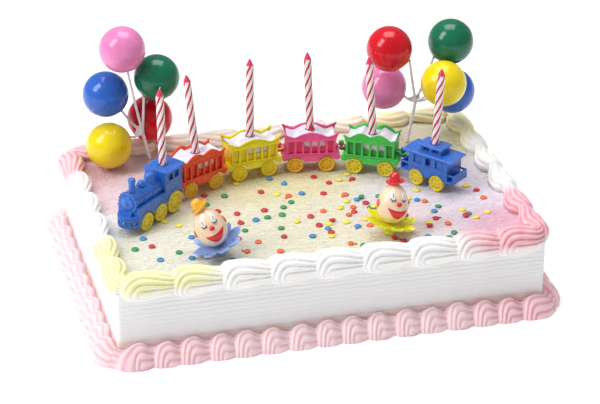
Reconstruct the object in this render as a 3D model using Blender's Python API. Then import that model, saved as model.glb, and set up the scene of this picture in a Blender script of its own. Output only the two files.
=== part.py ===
"""Birthday cake with candles: an iced sheet cake with piped shell borders, topped by a toy train
of six candle holders, six candles, two balloon picks and two clown picks.

Metres, +Z up. The cake stands on z = 0, centred on the origin, with its long front side facing -Y.
"""
import math

import bmesh
import bpy
from mathutils import Matrix, Vector

MM = 0.001
GAP = 0.3 * MM                      # clearance kept between neighbouring pieces

# Cake
CAKE_LENGTH = 330 * MM              # a 13 by 9 inch cake with its icing
CAKE_WIDTH = 225 * MM
CAKE_HEIGHT = 60 * MM
CAKE_CORNER = 7 * MM                # radius of the upright corners
CAKE_BEVEL = 5 * MM                 # slope under the top border
CORNER_STEPS = 4

# Piped borders, measured from the cake's wall (out) and from its top face or its base (up)
TOP_SHELLS = {"front": 9, "right": 6, "back": 9, "left": 6}
TOP_OVERHANG = 5.2 * MM
TOP_REACH = 14 * MM
TOP_CREST = 10 * MM
TOP_DROP = 8.5 * MM
TOP_FATNESS = ((0.0, 0.68), (0.16, 0.98), (0.6, 0.92))
BASE_SHELLS = {"front": 16, "right": 11, "back": 16, "left": 11}
BASE_REACH = 16 * MM
BASE_HEIGHT = 14 * MM
BASE_FATNESS = ((0.0, 0.8), (0.45, 1.0))
MITRE_FADE = 30 * MM                # length over which a border's end turns to its mitre
CORNER_ROUNDING = 0.3               # share by which a border draws in at the cake's corners

# Candles
CANDLE_RADIUS = 3.15 * MM
CANDLE_SHOULDER = 60 * MM
CANDLE_HEIGHT = 66.5 * MM
CANDLE_SIDES = 8
SOCKET_RADIUS = 4.2 * MM
SOCKET_DEPTH = 2.6 * MM

# Train: every vehicle's frame has x along its run, y across and z up from the icing
WHEEL_RADIUS = 6.5 * MM
WHEEL_THICKNESS = 2.6 * MM
AXLE_RADIUS = 1.2 * MM
WHEEL_SIDES = 8
TRACK_HALF = 10.3 * MM              # from the centre line to a wheel's outer face
ARCH_CLEARANCE = 0.9 * MM
WAGON_AXLE = 12.5 * MM
WAGON_HALF_LENGTH = 19.4 * MM
WAGON_HALF_WIDTH = 10.5 * MM
WAGON_WALL = 1.6 * MM
WAGON_FLOOR = 15.9 * MM
WAGON_EAVES = 27.4 * MM
WAGON_BARS = 7
BAR_WIDTH = 1.7 * MM
COUPLING_HEIGHT = 18.0 * MM
RING_RADIUS = 3.8 * MM
RING_HOLE = 2.5 * MM
RING_SIDES = 6
PEG_RADIUS = 1.4 * MM
PEG_BALL = 2.1 * MM

# Balloon picks
BALLOON_RADIUS = 18.3 * MM
BALLOON_SIDES = 10
BALLOON_RINGS = 6
STEM_RADIUS = 1.4 * MM
BRANCH_RADIUS = 1.0 * MM
HUB_RADIUS = 3.4 * MM
STEM_SIDES = 5

# Clown picks
COLLAR_RADIUS = 19.5 * MM
COLLAR_WAVE = 1.8 * MM
COLLAR_PETALS = 8
COLLAR_HEIGHT = 8.0 * MM
HEAD_TILT = -16.0                   # degrees about X, the face looking up
HEAD_PROFILE = ((0.0, 0.0), (6.2, 1.5), (10.15, 5.25), (11.85, 11.3), (11.3, 17.9), (9.3, 23.5),
                (5.65, 28.2), (0.0, 30.65))
HAT_SEAT = 31.95 * MM
HAT_PROFILE = ((0.0, 0.0), (6.6, -0.9), (6.9, 0.2), (4.4, 0.9), (4.1, 4.4), (2.4, 6.6), (0.0, 7.3))

COLOURS = {
    "icing": ((0.92, 0.91, 0.86), 0.6),
    "top_piping": ((0.94, 0.88, 0.80), 0.5),
    "base_piping": ((0.85, 0.48, 0.55), 0.5),
    "candle_wax": ((0.90, 0.84, 0.86), 0.4),
    "blue_plastic": ((0.05, 0.16, 0.52), 0.3),
    "orange_plastic": ((0.84, 0.09, 0.02), 0.3),
    "yellow_plastic": ((0.75, 0.55, 0.02), 0.3),
    "pink_plastic": ((0.78, 0.12, 0.32), 0.3),
    "green_plastic": ((0.09, 0.48, 0.10), 0.3),
    "white_plastic": ((0.85, 0.83, 0.88), 0.35),
    "gold_plastic": ((0.70, 0.42, 0.03), 0.35),
    "balloon_pink": ((0.75, 0.28, 0.50), 0.15),
    "balloon_green": ((0.01, 0.18, 0.10), 0.15),
    "balloon_blue": ((0.05, 0.17, 0.50), 0.15),
    "balloon_red": ((0.62, 0.01, 0.03), 0.15),
    "balloon_yellow": ((0.75, 0.58, 0.02), 0.15),
    "skin": ((0.90, 0.62, 0.42), 0.35),
    "hat_yellow": ((0.85, 0.48, 0.03), 0.3),
    "hat_red": ((0.70, 0.02, 0.03), 0.3),
    "collar_blue": ((0.35, 0.45, 0.78), 0.35),
    "collar_yellow": ((0.78, 0.75, 0.06), 0.35),
}


# ---------------------------------------------------------------- mesh helpers

def clear_scene():
    for item in list(bpy.data.objects):
        bpy.data.objects.remove(item, do_unlink=True)


def material(slot):
    made = bpy.data.materials.get(slot)
    if made:
        return made
    colour, roughness = COLOURS[slot]
    made = bpy.data.materials.new(slot)
    made.use_nodes = True
    shader = made.node_tree.nodes["Principled BSDF"]
    shader.inputs["Base Color"].default_value = (*colour, 1.0)
    shader.inputs["Roughness"].default_value = roughness
    return made


def loft(rings):
    """A closed body skinned over rings of equally many points, capped at both ends."""
    body = bmesh.new()
    loops = [[body.verts.new(point) for point in ring] for ring in rings]
    count = len(loops[0])
    for low, high in zip(loops, loops[1:]):
        for i in range(count):
            j = (i + 1) % count
            body.faces.new((low[i], low[j], high[j], high[i]))
    body.faces.new(list(reversed(loops[0])))
    body.faces.new(loops[-1])
    bmesh.ops.recalc_face_normals(body, faces=body.faces)
    return body


def lathe(profile, sides, wave=None):
    """A body turned about z. The profile's (radius, height) points start and end on the axis."""
    body = bmesh.new()
    foot = body.verts.new((0, 0, profile[0][1]))
    crown = body.verts.new((0, 0, profile[-1][1]))
    loops = []
    for index, (radius, height) in enumerate(profile[1:-1], start=1):
        loop = []
        for side in range(sides):
            angle = 2 * math.pi * side / sides
            extra, lift = wave(index, angle) if wave else (0.0, 0.0)
            reach = radius + extra
            loop.append(body.verts.new((reach * math.cos(angle), reach * math.sin(angle), height + lift)))
        loops.append(loop)
    for i in range(sides):
        j = (i + 1) % sides
        body.faces.new((foot, loops[0][j], loops[0][i]))
        body.faces.new((crown, loops[-1][i], loops[-1][j]))
        for low, high in zip(loops, loops[1:]):
            body.faces.new((low[i], low[j], high[j], high[i]))
    bmesh.ops.recalc_face_normals(body, faces=body.faces)
    return body


def box(low, high):
    body = bmesh.new()
    bmesh.ops.create_cube(body, size=1.0)
    centre = (Vector(low) + Vector(high)) / 2
    size = Vector(high) - Vector(low)
    bmesh.ops.transform(body, matrix=Matrix.Translation(centre) @ Matrix.Diagonal((*size, 1)), verts=body.verts)
    return body


def prism(outline, low, high, axis="y"):
    """An outline pushed from low to high: (x, z) points along y, (y, z) along x or (x, y) along z."""
    places = {
        "y": lambda a, b, c: (a, c, b),
        "x": lambda a, b, c: (c, a, b),
        "z": lambda a, b, c: (a, b, c),
    }
    place = places[axis]
    return loft([[Vector(place(a, b, level)) for a, b in outline] for level in (low, high)])


def rod(start, end, radius_start, radius_end, sides):
    start, end = Vector(start), Vector(end)
    body = bmesh.new()
    bmesh.ops.create_cone(body, cap_ends=True, segments=sides, radius1=radius_start,
                          radius2=radius_end, depth=(end - start).length)
    turn = Vector((0, 0, 1)).rotation_difference(end - start).to_matrix().to_4x4()
    bmesh.ops.transform(body, matrix=Matrix.Translation((start + end) / 2) @ turn, verts=body.verts)
    return body


def ball(centre, radii, sides=6, rings=4):
    body = bmesh.new()
    bmesh.ops.create_uvsphere(body, u_segments=sides, v_segments=rings, radius=1.0)
    shape = Matrix.Translation(centre) @ Matrix.Diagonal((*radii, 1))
    bmesh.ops.transform(body, matrix=shape, verts=body.verts)
    return body


def moved(body, matrix):
    bmesh.ops.transform(body, matrix=matrix, verts=body.verts)
    return body


def joined(bodies):
    """Bodies that don't touch each other, kept in one mesh to cut or to join in one step."""
    whole = bmesh.new()
    for body in bodies:
        mesh = bpy.data.meshes.new("part")
        body.to_mesh(mesh)
        whole.from_mesh(mesh)
        bpy.data.meshes.remove(mesh)
        body.free()
    return whole


def scratch_object(body):
    mesh = bpy.data.meshes.new("scratch")
    body.to_mesh(mesh)
    body.free()
    item = bpy.data.objects.new("scratch", mesh)
    item.hide_render = True
    item.display_type = "WIRE"
    bpy.context.scene.collection.objects.link(item)
    return item


def combined(base, *steps):
    """The base body after exact unions and differences with the (operation, body) steps."""
    target = scratch_object(base)
    helpers = []
    for operation, body in steps:
        helper = scratch_object(body)
        helpers.append(helper)
        boolean = target.modifiers.new(operation, "BOOLEAN")
        boolean.operation = operation
        boolean.solver = "EXACT"
        boolean.object = helper
    depsgraph = bpy.context.evaluated_depsgraph_get()
    result = bmesh.new()
    result.from_object(target, depsgraph)
    for item in helpers + [target]:
        bpy.data.objects.remove(item, do_unlink=True)
    bmesh.ops.dissolve_degenerate(result, dist=0.001 * MM, edges=result.edges)
    return result


def add_object(name, body, slot, matrix=Matrix.Identity(4), sharp_degrees=40):
    mesh = bpy.data.meshes.new(name)
    body.to_mesh(mesh)
    body.free()
    mesh.shade_smooth()
    mesh.set_sharp_from_angle(angle=math.radians(sharp_degrees))
    mesh.materials.append(material(slot))
    item = bpy.data.objects.new(name, mesh)
    item.matrix_world = matrix
    bpy.context.scene.collection.objects.link(item)
    return item


def arc(centre, radius, start, end, steps):
    """Points along an arc, angles in degrees, both ends included."""
    points = []
    for i in range(steps + 1):
        angle = math.radians(start + (end - start) * i / steps)
        points.append((centre[0] + radius * math.cos(angle), centre[1] + radius * math.sin(angle)))
    return points


# ---------------------------------------------------------------- cake and borders

def rounded_rectangle(length, width, radius):
    points = []
    for quarter, (sx, sy) in enumerate(((1, 1), (-1, 1), (-1, -1), (1, -1))):
        centre = (sx * (length / 2 - radius), sy * (width / 2 - radius))
        points += arc(centre, radius, 90 * quarter, 90 * quarter + 90, CORNER_STEPS)
    return points


def build_cake():
    levels = (
        (0.0, 0.0),
        (CAKE_HEIGHT - CAKE_BEVEL, 0.0),
        (CAKE_HEIGHT, CAKE_BEVEL),
    )
    rings = []
    for height, inset in levels:
        outline = rounded_rectangle(CAKE_LENGTH - 2 * inset, CAKE_WIDTH - 2 * inset, CAKE_CORNER - inset)
        rings.append([Vector((x, y, height)) for x, y in outline])
    add_object("cake", loft(rings), "icing")


def top_section(fatness):
    """The top border's section: out from the wall, up from the top face."""
    reach, crest = TOP_REACH * fatness, TOP_CREST * fatness
    over, drop = TOP_OVERHANG * fatness, TOP_DROP * fatness
    corner = CAKE_BEVEL - 0.4 * GAP
    middle = -0.3 * reach
    inner = [(middle - (reach + middle) * math.cos(math.radians(a)), crest * math.sin(math.radians(a)))
             for a in (25, 60)]
    outer = (middle + (over - middle) * math.cos(math.radians(42)), crest * math.sin(math.radians(42)))
    return [(GAP, -drop), (GAP, -corner), (-corner, GAP), (-reach, GAP), *inner, (middle, crest), outer,
            (over, -0.1 * drop)]


def base_section(fatness):
    """The bottom border's section: out from the wall, up from the base."""
    reach, height = BASE_REACH * fatness, BASE_HEIGHT * fatness
    return [(GAP, 0.0), (GAP, height), (0.5 * reach, 0.93 * height), (0.88 * reach, 0.56 * height), (reach, 0.0)]


def cake_sides():
    """Each side's name, first corner, direction of piping, outward direction and length."""
    half_length, half_width = CAKE_LENGTH / 2, CAKE_WIDTH / 2
    return (
        ("front", Vector((-half_length, -half_width, 0)), Vector((1, 0, 0)), Vector((0, -1, 0)), CAKE_LENGTH),
        ("right", Vector((half_length, -half_width, 0)), Vector((0, 1, 0)), Vector((1, 0, 0)), CAKE_WIDTH),
        ("back", Vector((half_length, half_width, 0)), Vector((-1, 0, 0)), Vector((0, 1, 0)), CAKE_LENGTH),
        ("left", Vector((-half_length, half_width, 0)), Vector((0, -1, 0)), Vector((-1, 0, 0)), CAKE_WIDTH),
    )


def piped_side(corner, along, outward, length, shells, fatness_steps, section, level):
    """One side's run of piped shells, its ends mitred to meet the neighbouring sides."""
    pitch = length / shells
    stations = [(pitch * (shell + place), fatness) for shell in range(shells) for place, fatness in fatness_steps]
    stations.append((length, fatness_steps[0][1]))
    rings = []
    for run, fatness in stations:
        turn_in = max(0.0, 1 - run / MITRE_FADE)
        turn_out = max(0.0, 1 - (length - run) / MITRE_FADE)
        ring = []
        rounding = 1 - CORNER_ROUNDING * max(turn_in, turn_out) ** 2
        for out, up in section(fatness):
            out *= rounding if out > GAP else 1.0
            slide = (GAP - out) * (turn_in - turn_out)
            ring.append(corner + along * (run + slide) + outward * out + Vector((0, 0, level + up)))
        rings.append(ring)
    return loft(rings)


def build_borders():
    for name, corner, along, outward, length in cake_sides():
        run = (corner, along, outward, length)
        top = piped_side(*run, TOP_SHELLS[name], TOP_FATNESS, top_section, CAKE_HEIGHT)
        add_object(f"top_border_{name}", top, "top_piping", sharp_degrees=75)
        base = piped_side(*run, BASE_SHELLS[name], BASE_FATNESS, base_section, 0.0)
        add_object(f"bottom_border_{name}", base, "base_piping", sharp_degrees=75)


# ---------------------------------------------------------------- train

def wheelset(radius, sides=WHEEL_SIDES):
    """Two wheels on an axle along y, centred on the axle."""
    inner = TRACK_HALF - WHEEL_THICKNESS
    profile = ((0, -TRACK_HALF), (radius, -TRACK_HALF), (radius, -inner), (AXLE_RADIUS, -inner),
               (AXLE_RADIUS, inner), (radius, inner), (radius, TRACK_HALF), (0, TRACK_HALF))
    return moved(lathe(profile, sides), Matrix.Rotation(math.radians(90), 4, "X"))


def wheel_arch(axle, radius, floor, steps=5):
    """The underside of a chassis over one wheel, from its +x foot to its -x foot."""
    reach = radius + ARCH_CLEARANCE
    foot = math.degrees(math.asin((floor - radius) / reach))
    return arc((axle, radius), reach, foot, 180 - foot, steps)


def one_hump_top(hump, dip, horn):
    """Half of a wagon wall's wavy top with one hump in its middle: (x, z) points from x = 0 outwards."""
    half = WAGON_HALF_LENGTH
    return ((0.0, hump), (0.36 * half, hump - 1.4 * MM), (0.66 * half, dip), (0.86 * half, dip + 1.0 * MM),
            (1.13 * half, horn))


def two_hump_top(valley, hump, dip, horn):
    """Half of a wavy top with a hump on each side of a valley in its middle."""
    half = WAGON_HALF_LENGTH
    return ((0.0, valley), (0.2 * half, 0.35 * valley + 0.65 * hump), (0.42 * half, hump),
            (0.66 * half, 0.5 * (dip + hump)), (0.85 * half, dip), (1.1 * half, horn))


WALL_TOPS = {
    "single": one_hump_top(34.3 * MM, 30.4 * MM, 33.7 * MM),
    "double": two_hump_top(33.0 * MM, 35.4 * MM, 31.0 * MM, 32.8 * MM),
}


def mirrored(half_points):
    """A symmetric run of points from -x to +x, from its half that starts at x = 0."""
    left = [(-x, z) for x, z in reversed(half_points) if x > 0]
    return left + list(half_points)


def wagon_outline(top):
    """A wagon seen from its side: apron, wheel arches, round beam ends, end posts and wavy top."""
    knob, knob_radius = (20.5 * MM, 13.2 * MM), 2.6 * MM
    half = [(5.4 * MM, 9.6 * MM)]
    half += list(reversed(wheel_arch(WAGON_AXLE, WHEEL_RADIUS, 11.0 * MM, 4)))
    half += arc(knob, knob_radius, -130, 60, 3)
    half += [(WAGON_HALF_LENGTH, WAGON_FLOOR), (WAGON_HALF_LENGTH, WAGON_EAVES)]
    half += list(reversed(top))
    left = [(-x, z) for x, z in reversed(half) if x > 0]
    return half + left


def wagon_cavity():
    """The space between a wagon's side walls, open at the top and above its end walls."""
    inside, outside, rim = WAGON_HALF_LENGTH - WAGON_WALL, WAGON_HALF_LENGTH + 5 * MM, 40 * MM
    outline = [(-inside, WAGON_FLOOR), (inside, WAGON_FLOOR), (inside, WAGON_EAVES), (outside, WAGON_EAVES),
               (outside, rim), (-outside, rim), (-outside, WAGON_EAVES), (-inside, WAGON_EAVES)]
    reach = WAGON_HALF_WIDTH - WAGON_WALL
    return prism(outline, -reach, reach)


def wagon_slots():
    """The open spaces between the bars of both side walls."""
    half, width = WAGON_HALF_LENGTH, WAGON_HALF_WIDTH
    pitch = (2 * half - BAR_WIDTH) / (WAGON_BARS - 1)
    return joined([box((-half + BAR_WIDTH + i * pitch, -2 * width, WAGON_FLOOR + 0.4 * MM),
                       (-half + (i + 1) * pitch, 2 * width, WAGON_EAVES - 0.4 * MM))
                   for i in range(WAGON_BARS - 1)])


def coupling_arm(start_x, target):
    """A flat tongue from a vehicle's end to its coupling point, both in the vehicle's frame."""
    end = Vector((target[0], target[1], 0))
    start = Vector((start_x, 0, 0))
    run = end - start
    turn = Matrix.Rotation(math.atan2(run.y, run.x), 4, "Z")
    arm = box((-1.5 * MM, -1.3 * MM, -0.8 * MM), (run.length - RING_HOLE - 0.5 * MM, 1.3 * MM, 0.8 * MM))
    return moved(arm, Matrix.Translation(start + Vector((0, 0, COUPLING_HEIGHT))) @ turn)


def coupling_ring(target):
    height = COUPLING_HEIGHT
    outer = rod((*target, height - 0.8 * MM), (*target, height + 0.8 * MM), RING_RADIUS, RING_RADIUS, RING_SIDES)
    hole = rod((*target, height - 2 * MM), (*target, height + 2 * MM), RING_HOLE, RING_HOLE, RING_SIDES)
    return outer, hole


def coupling_peg(start_x, target):
    """An arm that passes under the next vehicle's ring, with a peg and ball standing up through it."""
    height = COUPLING_HEIGHT - 2.4 * MM
    end = Vector((*target, height))
    start = Vector((start_x, 0, height))
    run = end - start
    turn = Matrix.Rotation(math.atan2(run.y, run.x), 4, "Z")
    arm = box((-1.5 * MM, -1.3 * MM, -0.8 * MM), (run.length + 1.6 * MM, 1.3 * MM, 0.8 * MM))
    arm = moved(arm, Matrix.Translation(start) @ turn)
    peg = rod((*target, height), (*target, height + 5 * MM), PEG_RADIUS, PEG_RADIUS, 5)
    knob = ball((*target, height + 5.2 * MM), (PEG_BALL,) * 3, sides=5, rings=4)
    return combined(arm, ("UNION", peg), ("UNION", knob))


def wagon_body(top, ring_at, peg_at):
    ring, hole = coupling_ring(ring_at)
    return combined(
        prism(wagon_outline(top), -WAGON_HALF_WIDTH, WAGON_HALF_WIDTH),
        ("DIFFERENCE", wagon_cavity()), ("DIFFERENCE", wagon_slots()),
        ("UNION", coupling_arm(WAGON_HALF_LENGTH, ring_at)), ("UNION", ring), ("DIFFERENCE", hole),
        ("UNION", coupling_peg(-WAGON_HALF_LENGTH, peg_at)))


def wagon_roof(top):
    """The wavy white tray between a wagon's walls, with a flat seat and a socket for the candle."""
    drop, thickness = 1.5 * MM, 1.4 * MM
    seat = 4.4 * MM
    half = [(0.0, top[0][1]), (seat, top[0][1])] + [(x, z) for x, z in top[1:-1] if x > seat]
    half.append((WAGON_HALF_LENGTH, top[-2][1] + 0.62 * (top[-1][1] - top[-2][1])))
    upper = [(x, z - drop) for x, z in mirrored(half)]
    lower = [(x, z - thickness) for x, z in reversed(upper)]
    reach = WAGON_HALF_WIDTH - WAGON_WALL - GAP
    socket = rod((0, 0, 22 * MM), (0, 0, top[0][1] - drop - 0.4 * MM), 4.2 * MM, 4.2 * MM, 8)
    return combined(prism(upper + lower, -reach, reach), ("UNION", socket))


def locomotive_body(ring_at):
    half_width, deck = 9.8 * MM, 21.5 * MM
    rear_wheel, wheel = 8.9 * MM, 7.1 * MM
    sill = 11.5 * MM
    outline = wheel_arch(0.0, rear_wheel, 12.0 * MM, 6)
    outline = outline[:-1] + [(-9.6 * MM, 12.6 * MM), (-9.6 * MM, deck), (45.8 * MM, deck), (45.8 * MM, sill)]
    outline += wheel_arch(35.4 * MM, wheel, sill) + wheel_arch(17.7 * MM, wheel, sill)
    chassis = prism(outline, -half_width, half_width)

    cab = box((-9.5 * MM, -half_width + 0.05 * MM, deck - 1 * MM), (11.8 * MM, half_width - 0.05 * MM, 37 * MM))
    roof_edge = [(-11, 36.6), (11, 36.6), (11, 37.6), (5, 38.7), (-5, 38.7), (-11, 37.6)]
    roof = prism([(y * MM, z * MM) for y, z in roof_edge], -11.4 * MM, 12.6 * MM, axis="x")
    windows = joined([box((x - 2.7 * MM, -12 * MM, 29.2 * MM), (x + 2.7 * MM, 12 * MM, 34.6 * MM))
                      for x in (4.6 * MM, -2.7 * MM)])
    socket = rod((1.5 * MM, 0, 38.7 * MM - SOCKET_DEPTH), (1.5 * MM, 0, 42 * MM), SOCKET_RADIUS, SOCKET_RADIUS, 10)

    axis, barrel, band = 24.8 * MM, 7.2 * MM, 7.8 * MM
    profile = [(0, 10), (barrel, 10)]
    for start in (22.5, 33.5):
        profile += [(barrel, start), (band, start + 0.3), (band, start + 1.7), (barrel, start + 2.0)]
    profile += [(barrel, 44.6), (8.3 * MM, 45.0), (8.3 * MM, 47.2), (6.6 * MM, 48.0), (0, 48.0)]
    profile = [(radius, x * MM) for radius, x in profile]
    boiler = moved(lathe(profile, 10), Matrix.Translation((0, 0, axis)) @ Matrix.Rotation(math.radians(90), 4, "Y"))

    stack = lathe([(r * MM, z * MM) for r, z in ((0, 29), (3.3, 29), (2.5, 33), (2.9, 41.8), (1.9, 43.2), (0, 43.4))], 8)
    bell = lathe([(r * MM, z * MM) for r, z in ((0, 29), (2.6, 29), (3.3, 33.4), (2.2, 36.4), (0, 37.3))], 8)
    dome = lathe([(r * MM, z * MM) for r, z in ((0, 29), (4.4, 29), (4.2, 35.4), (2.6, 38.4), (0, 39.3))], 8)
    fittings = joined([moved(stack, Matrix.Translation((41 * MM, 0, 0))),
                       moved(bell, Matrix.Translation((29.5 * MM, 0, 0))),
                       moved(dome, Matrix.Translation((19.0 * MM, 0, 0)))])

    nose = arc((0, 0), 1.0, -90, 90, 8)
    pilot = [(44.0 * MM + 10.2 * MM * x, 9.6 * MM * y) for x, y in nose]
    pilot += [(42.6 * MM, 9.6 * MM), (42.6 * MM, -9.6 * MM)]
    pilot = prism(pilot, 6.8 * MM, 14.9 * MM, axis="z")
    ring, hole = coupling_ring(ring_at)
    return combined(
        chassis, ("UNION", cab), ("UNION", roof), ("DIFFERENCE", windows), ("DIFFERENCE", socket),
        ("UNION", boiler), ("UNION", fittings), ("UNION", pilot), ("UNION", coupling_arm(-9.6 * MM, ring_at)),
        ("UNION", ring), ("DIFFERENCE", hole))


def caboose_body(peg_at):
    half_width, deck, eaves = 9.8 * MM, 11.2 * MM, 27.6 * MM
    sill = 9.6 * MM
    axle, wheel = 9.5 * MM, WHEEL_RADIUS
    outline = [(-16.8 * MM, eaves), (-16.8 * MM, deck), (-24.0 * MM, deck), (-24.0 * MM, sill)]
    outline += list(reversed(wheel_arch(-axle, wheel, sill))) + list(reversed(wheel_arch(axle, wheel, sill)))
    outline += [(25.0 * MM, sill), (25.0 * MM, deck), (19.4 * MM, deck), (19.4 * MM, eaves)]
    body = prism(outline, -half_width, half_width)
    plates = joined([box((x * MM, -9.2 * MM, sill + 0.1 * MM), ((x + 1.2) * MM, 9.2 * MM, 16.8 * MM))
                     for x in (-24.6, 24.4)])
    roof_edge = [(-11, 27.2), (11, 27.2), (11, 28.4), (4, 29.4), (-4, 29.4), (-11, 28.4)]
    roof = prism([(y * MM, z * MM) for y, z in roof_edge], -21.2 * MM, 23.0 * MM, axis="x")
    cupola = box((-8.2 * MM, -6.2 * MM, 28 * MM), (10.8 * MM, 6.2 * MM, 34.2 * MM))
    lid_edge = [(-7.6, 33.8), (7.6, 33.8), (7.6, 34.6), (3, 35.4), (-3, 35.4), (-7.6, 34.6)]
    lid = prism([(y * MM, z * MM) for y, z in lid_edge], -9.8 * MM, 12.2 * MM, axis="x")
    socket = rod((1.3 * MM, 0, 35.4 * MM - SOCKET_DEPTH), (1.3 * MM, 0, 38 * MM), SOCKET_RADIUS, SOCKET_RADIUS, 10)
    recesses = []
    for side in (-1, 1):
        low, high = sorted((side * (half_width - 1.0 * MM), side * (half_width + 1 * MM)))
        for x in (-8.6 * MM, 11.6 * MM):
            recesses.append(box((x - 3.2 * MM, low, 19.4 * MM), (x + 3.2 * MM, high, 26.2 * MM)))
        low, high = sorted((side * 5.0 * MM, side * 7.0 * MM))
        for x in (-3.0 * MM, 5.6 * MM):
            recesses.append(box((x - 2.7 * MM, low, 29.8 * MM), (x + 2.7 * MM, high, 33.2 * MM)))
    doorway = [(-2.6, 19.4), (2.6, 19.4), (2.6, 24.0), (1.3, 26.0), (-1.3, 26.0), (-2.6, 24.0)]
    doorway = prism([((x + 1.5) * MM, z * MM) for x, z in doorway], -12 * MM, 12 * MM)
    return combined(
        body, ("UNION", plates), ("UNION", roof), ("UNION", cupola), ("UNION", lid),
        ("DIFFERENCE", joined(recesses)), ("DIFFERENCE", doorway), ("DIFFERENCE", socket),
        ("UNION", coupling_peg(-16.8 * MM, peg_at)))


# Every vehicle's place on the icing (x, y), its heading in degrees, its ends along its own x
# for the ring and for the peg, its axles with their wheels' radii, its candle's seat and its lean.
TRAIN = (
    {"name": "locomotive", "at": (-103.6, 4.7), "heading": 222.0, "ring": -15.6, "slot": "blue_plastic",
     "axles": ((0.0, 8.9), (17.7, 7.1), (35.4, 7.1)), "candle": (1.5, 36.4), "lean": (-1.6, -1.0)},
    {"name": "orange_wagon", "at": (-73.2, 31.3), "heading": 26.2, "ring": 24.6, "peg": -24.6,
     "top": "double", "slot": "orange_plastic", "lean": (-6.2, 1.6)},
    {"name": "yellow_wagon", "at": (-26.1, 46.9), "heading": 8.1, "ring": 24.6, "peg": -24.6,
     "top": "single", "slot": "yellow_plastic", "lean": (0.0, 0.0)},
    {"name": "pink_wagon", "at": (22.7, 47.3), "heading": -9.6, "ring": 24.6, "peg": -24.6,
     "top": "single", "slot": "pink_plastic", "lean": (-2.6, 0.7)},
    {"name": "green_wagon", "at": (69.1, 29.9), "heading": -27.8, "ring": 24.6, "peg": -24.6,
     "top": "double", "slot": "green_plastic", "lean": (-4.0, 1.0)},
    {"name": "caboose", "at": (108.6, -4.6), "heading": -51.5, "peg": -28.0, "slot": "blue_plastic",
     "axles": ((-9.5, 6.5), (9.5, 6.5)), "candle": (1.3, 33.1), "lean": (3.2, -0.8)},
)


def vehicle_frame(vehicle):
    x, y = vehicle["at"]
    turn = Matrix.Rotation(math.radians(vehicle["heading"]), 4, "Z")
    return Matrix.Translation((x * MM, y * MM, CAKE_HEIGHT + GAP)) @ turn


def coupling_points():
    """The world place of each coupling, midway between one vehicle's ring and the next one's peg."""
    places = []
    for ahead, behind in zip(TRAIN, TRAIN[1:]):
        ring = vehicle_frame(ahead) @ Vector((ahead["ring"] * MM, 0, 0))
        peg = vehicle_frame(behind) @ Vector((behind["peg"] * MM, 0, 0))
        places.append((ring + peg) / 2)
    return places


def local_place(frame, place):
    point = frame.inverted() @ place
    return point.x, point.y


def build_candle(number, frame, seat, lean):
    radius, shoulder = CANDLE_RADIUS, CANDLE_SHOULDER
    profile = ((0, 0), (radius, 0), (radius, shoulder), (0.86 * radius, shoulder + 0.4 * MM), (0, CANDLE_HEIGHT))
    foot = frame @ Vector(seat)
    axis = Vector((lean[0] * MM, lean[1] * MM, CANDLE_HEIGHT))
    turn = Vector((0, 0, 1)).rotation_difference(axis).to_matrix().to_4x4()
    add_object(f"candle_{number}", lathe(profile, CANDLE_SIDES), "candle_wax", Matrix.Translation(foot) @ turn)


def build_wheels(name, frame, axles):
    for number, (place, radius) in enumerate(axles, start=1):
        place = frame @ Matrix.Translation((place * MM, 0, radius * MM))
        add_object(f"{name}_wheels_{number}", wheelset(radius * MM), "gold_plastic", place)


def build_train():
    couplings = coupling_points()
    wagon_axles = ((-WAGON_AXLE / MM, WHEEL_RADIUS / MM), (WAGON_AXLE / MM, WHEEL_RADIUS / MM))
    for number, vehicle in enumerate(TRAIN):
        name, frame = vehicle["name"], vehicle_frame(vehicle)
        ring_at = local_place(frame, couplings[number]) if "ring" in vehicle else None
        peg_at = local_place(frame, couplings[number - 1]) if "peg" in vehicle else None
        if name == "locomotive":
            body = locomotive_body(ring_at)
        elif name == "caboose":
            body = caboose_body(peg_at)
        else:
            top = WALL_TOPS[vehicle["top"]]
            body = wagon_body(top, ring_at, peg_at)
            add_object(f"{name}_roof", wagon_roof(top), "white_plastic", frame)
        add_object(f"{name}_body", body, vehicle["slot"], frame)
        build_wheels(name, frame, vehicle.get("axles", wagon_axles))
        if "candle" in vehicle:
            seat = (vehicle["candle"][0] * MM, 0, vehicle["candle"][1] * MM)
        else:
            seat = (0, 0, WALL_TOPS[vehicle["top"]][0][1] - 1.5 * MM + 2 * GAP)
        build_candle(number + 1, frame, seat, vehicle["lean"])


# ---------------------------------------------------------------- picks

# Each pick: where it stands, its hub, and its balloons' colours, centres and, where a branch
# meets its balloon off the line to the centre, the place it meets.
BALLOON_PICKS = {
    "left": {
        "foot": (-97.8, 90.9), "hub": (-103.7, 88.3, 85.7),
        "balloons": {
            "pink": ((-117.8, 90.0, 158.5), None),
            "green": ((-90.2, 94.0, 130.0), (-101.5, 89.6, 116.4)),
            "blue": ((-130.4, 99.5, 117.2), None),
            "red": ((-93.9, 107.4, 88.6), None),
            "yellow": ((-131.8, 83.3, 80.1), None),
        },
    },
    "right": {
        "foot": (110.7, 71.6), "hub": (116.5, 70.0, 96.5),
        "balloons": {
            "red": ((92.5, 67.1, 146.4), (106.9, 59.0, 138.4)),
            "pink": ((95.0, 87.1, 104.2), None),
            "green": ((144.7, 71.0, 145.7), (130.5, 68.8, 134.6)),
            "yellow": ((131.5, 45.6, 121.5), None),
            "blue": ((149.6, 76.8, 99.2), None),
        },
    },
}


def build_balloon(name, slot, centre):
    profile = []
    for ring in range(BALLOON_RINGS + 1):
        angle = math.pi * ring / BALLOON_RINGS
        profile.append((BALLOON_RADIUS * math.sin(angle), -BALLOON_RADIUS * math.cos(angle)))
    add_object(name, lathe(profile, BALLOON_SIDES), slot, Matrix.Translation(centre))


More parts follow.
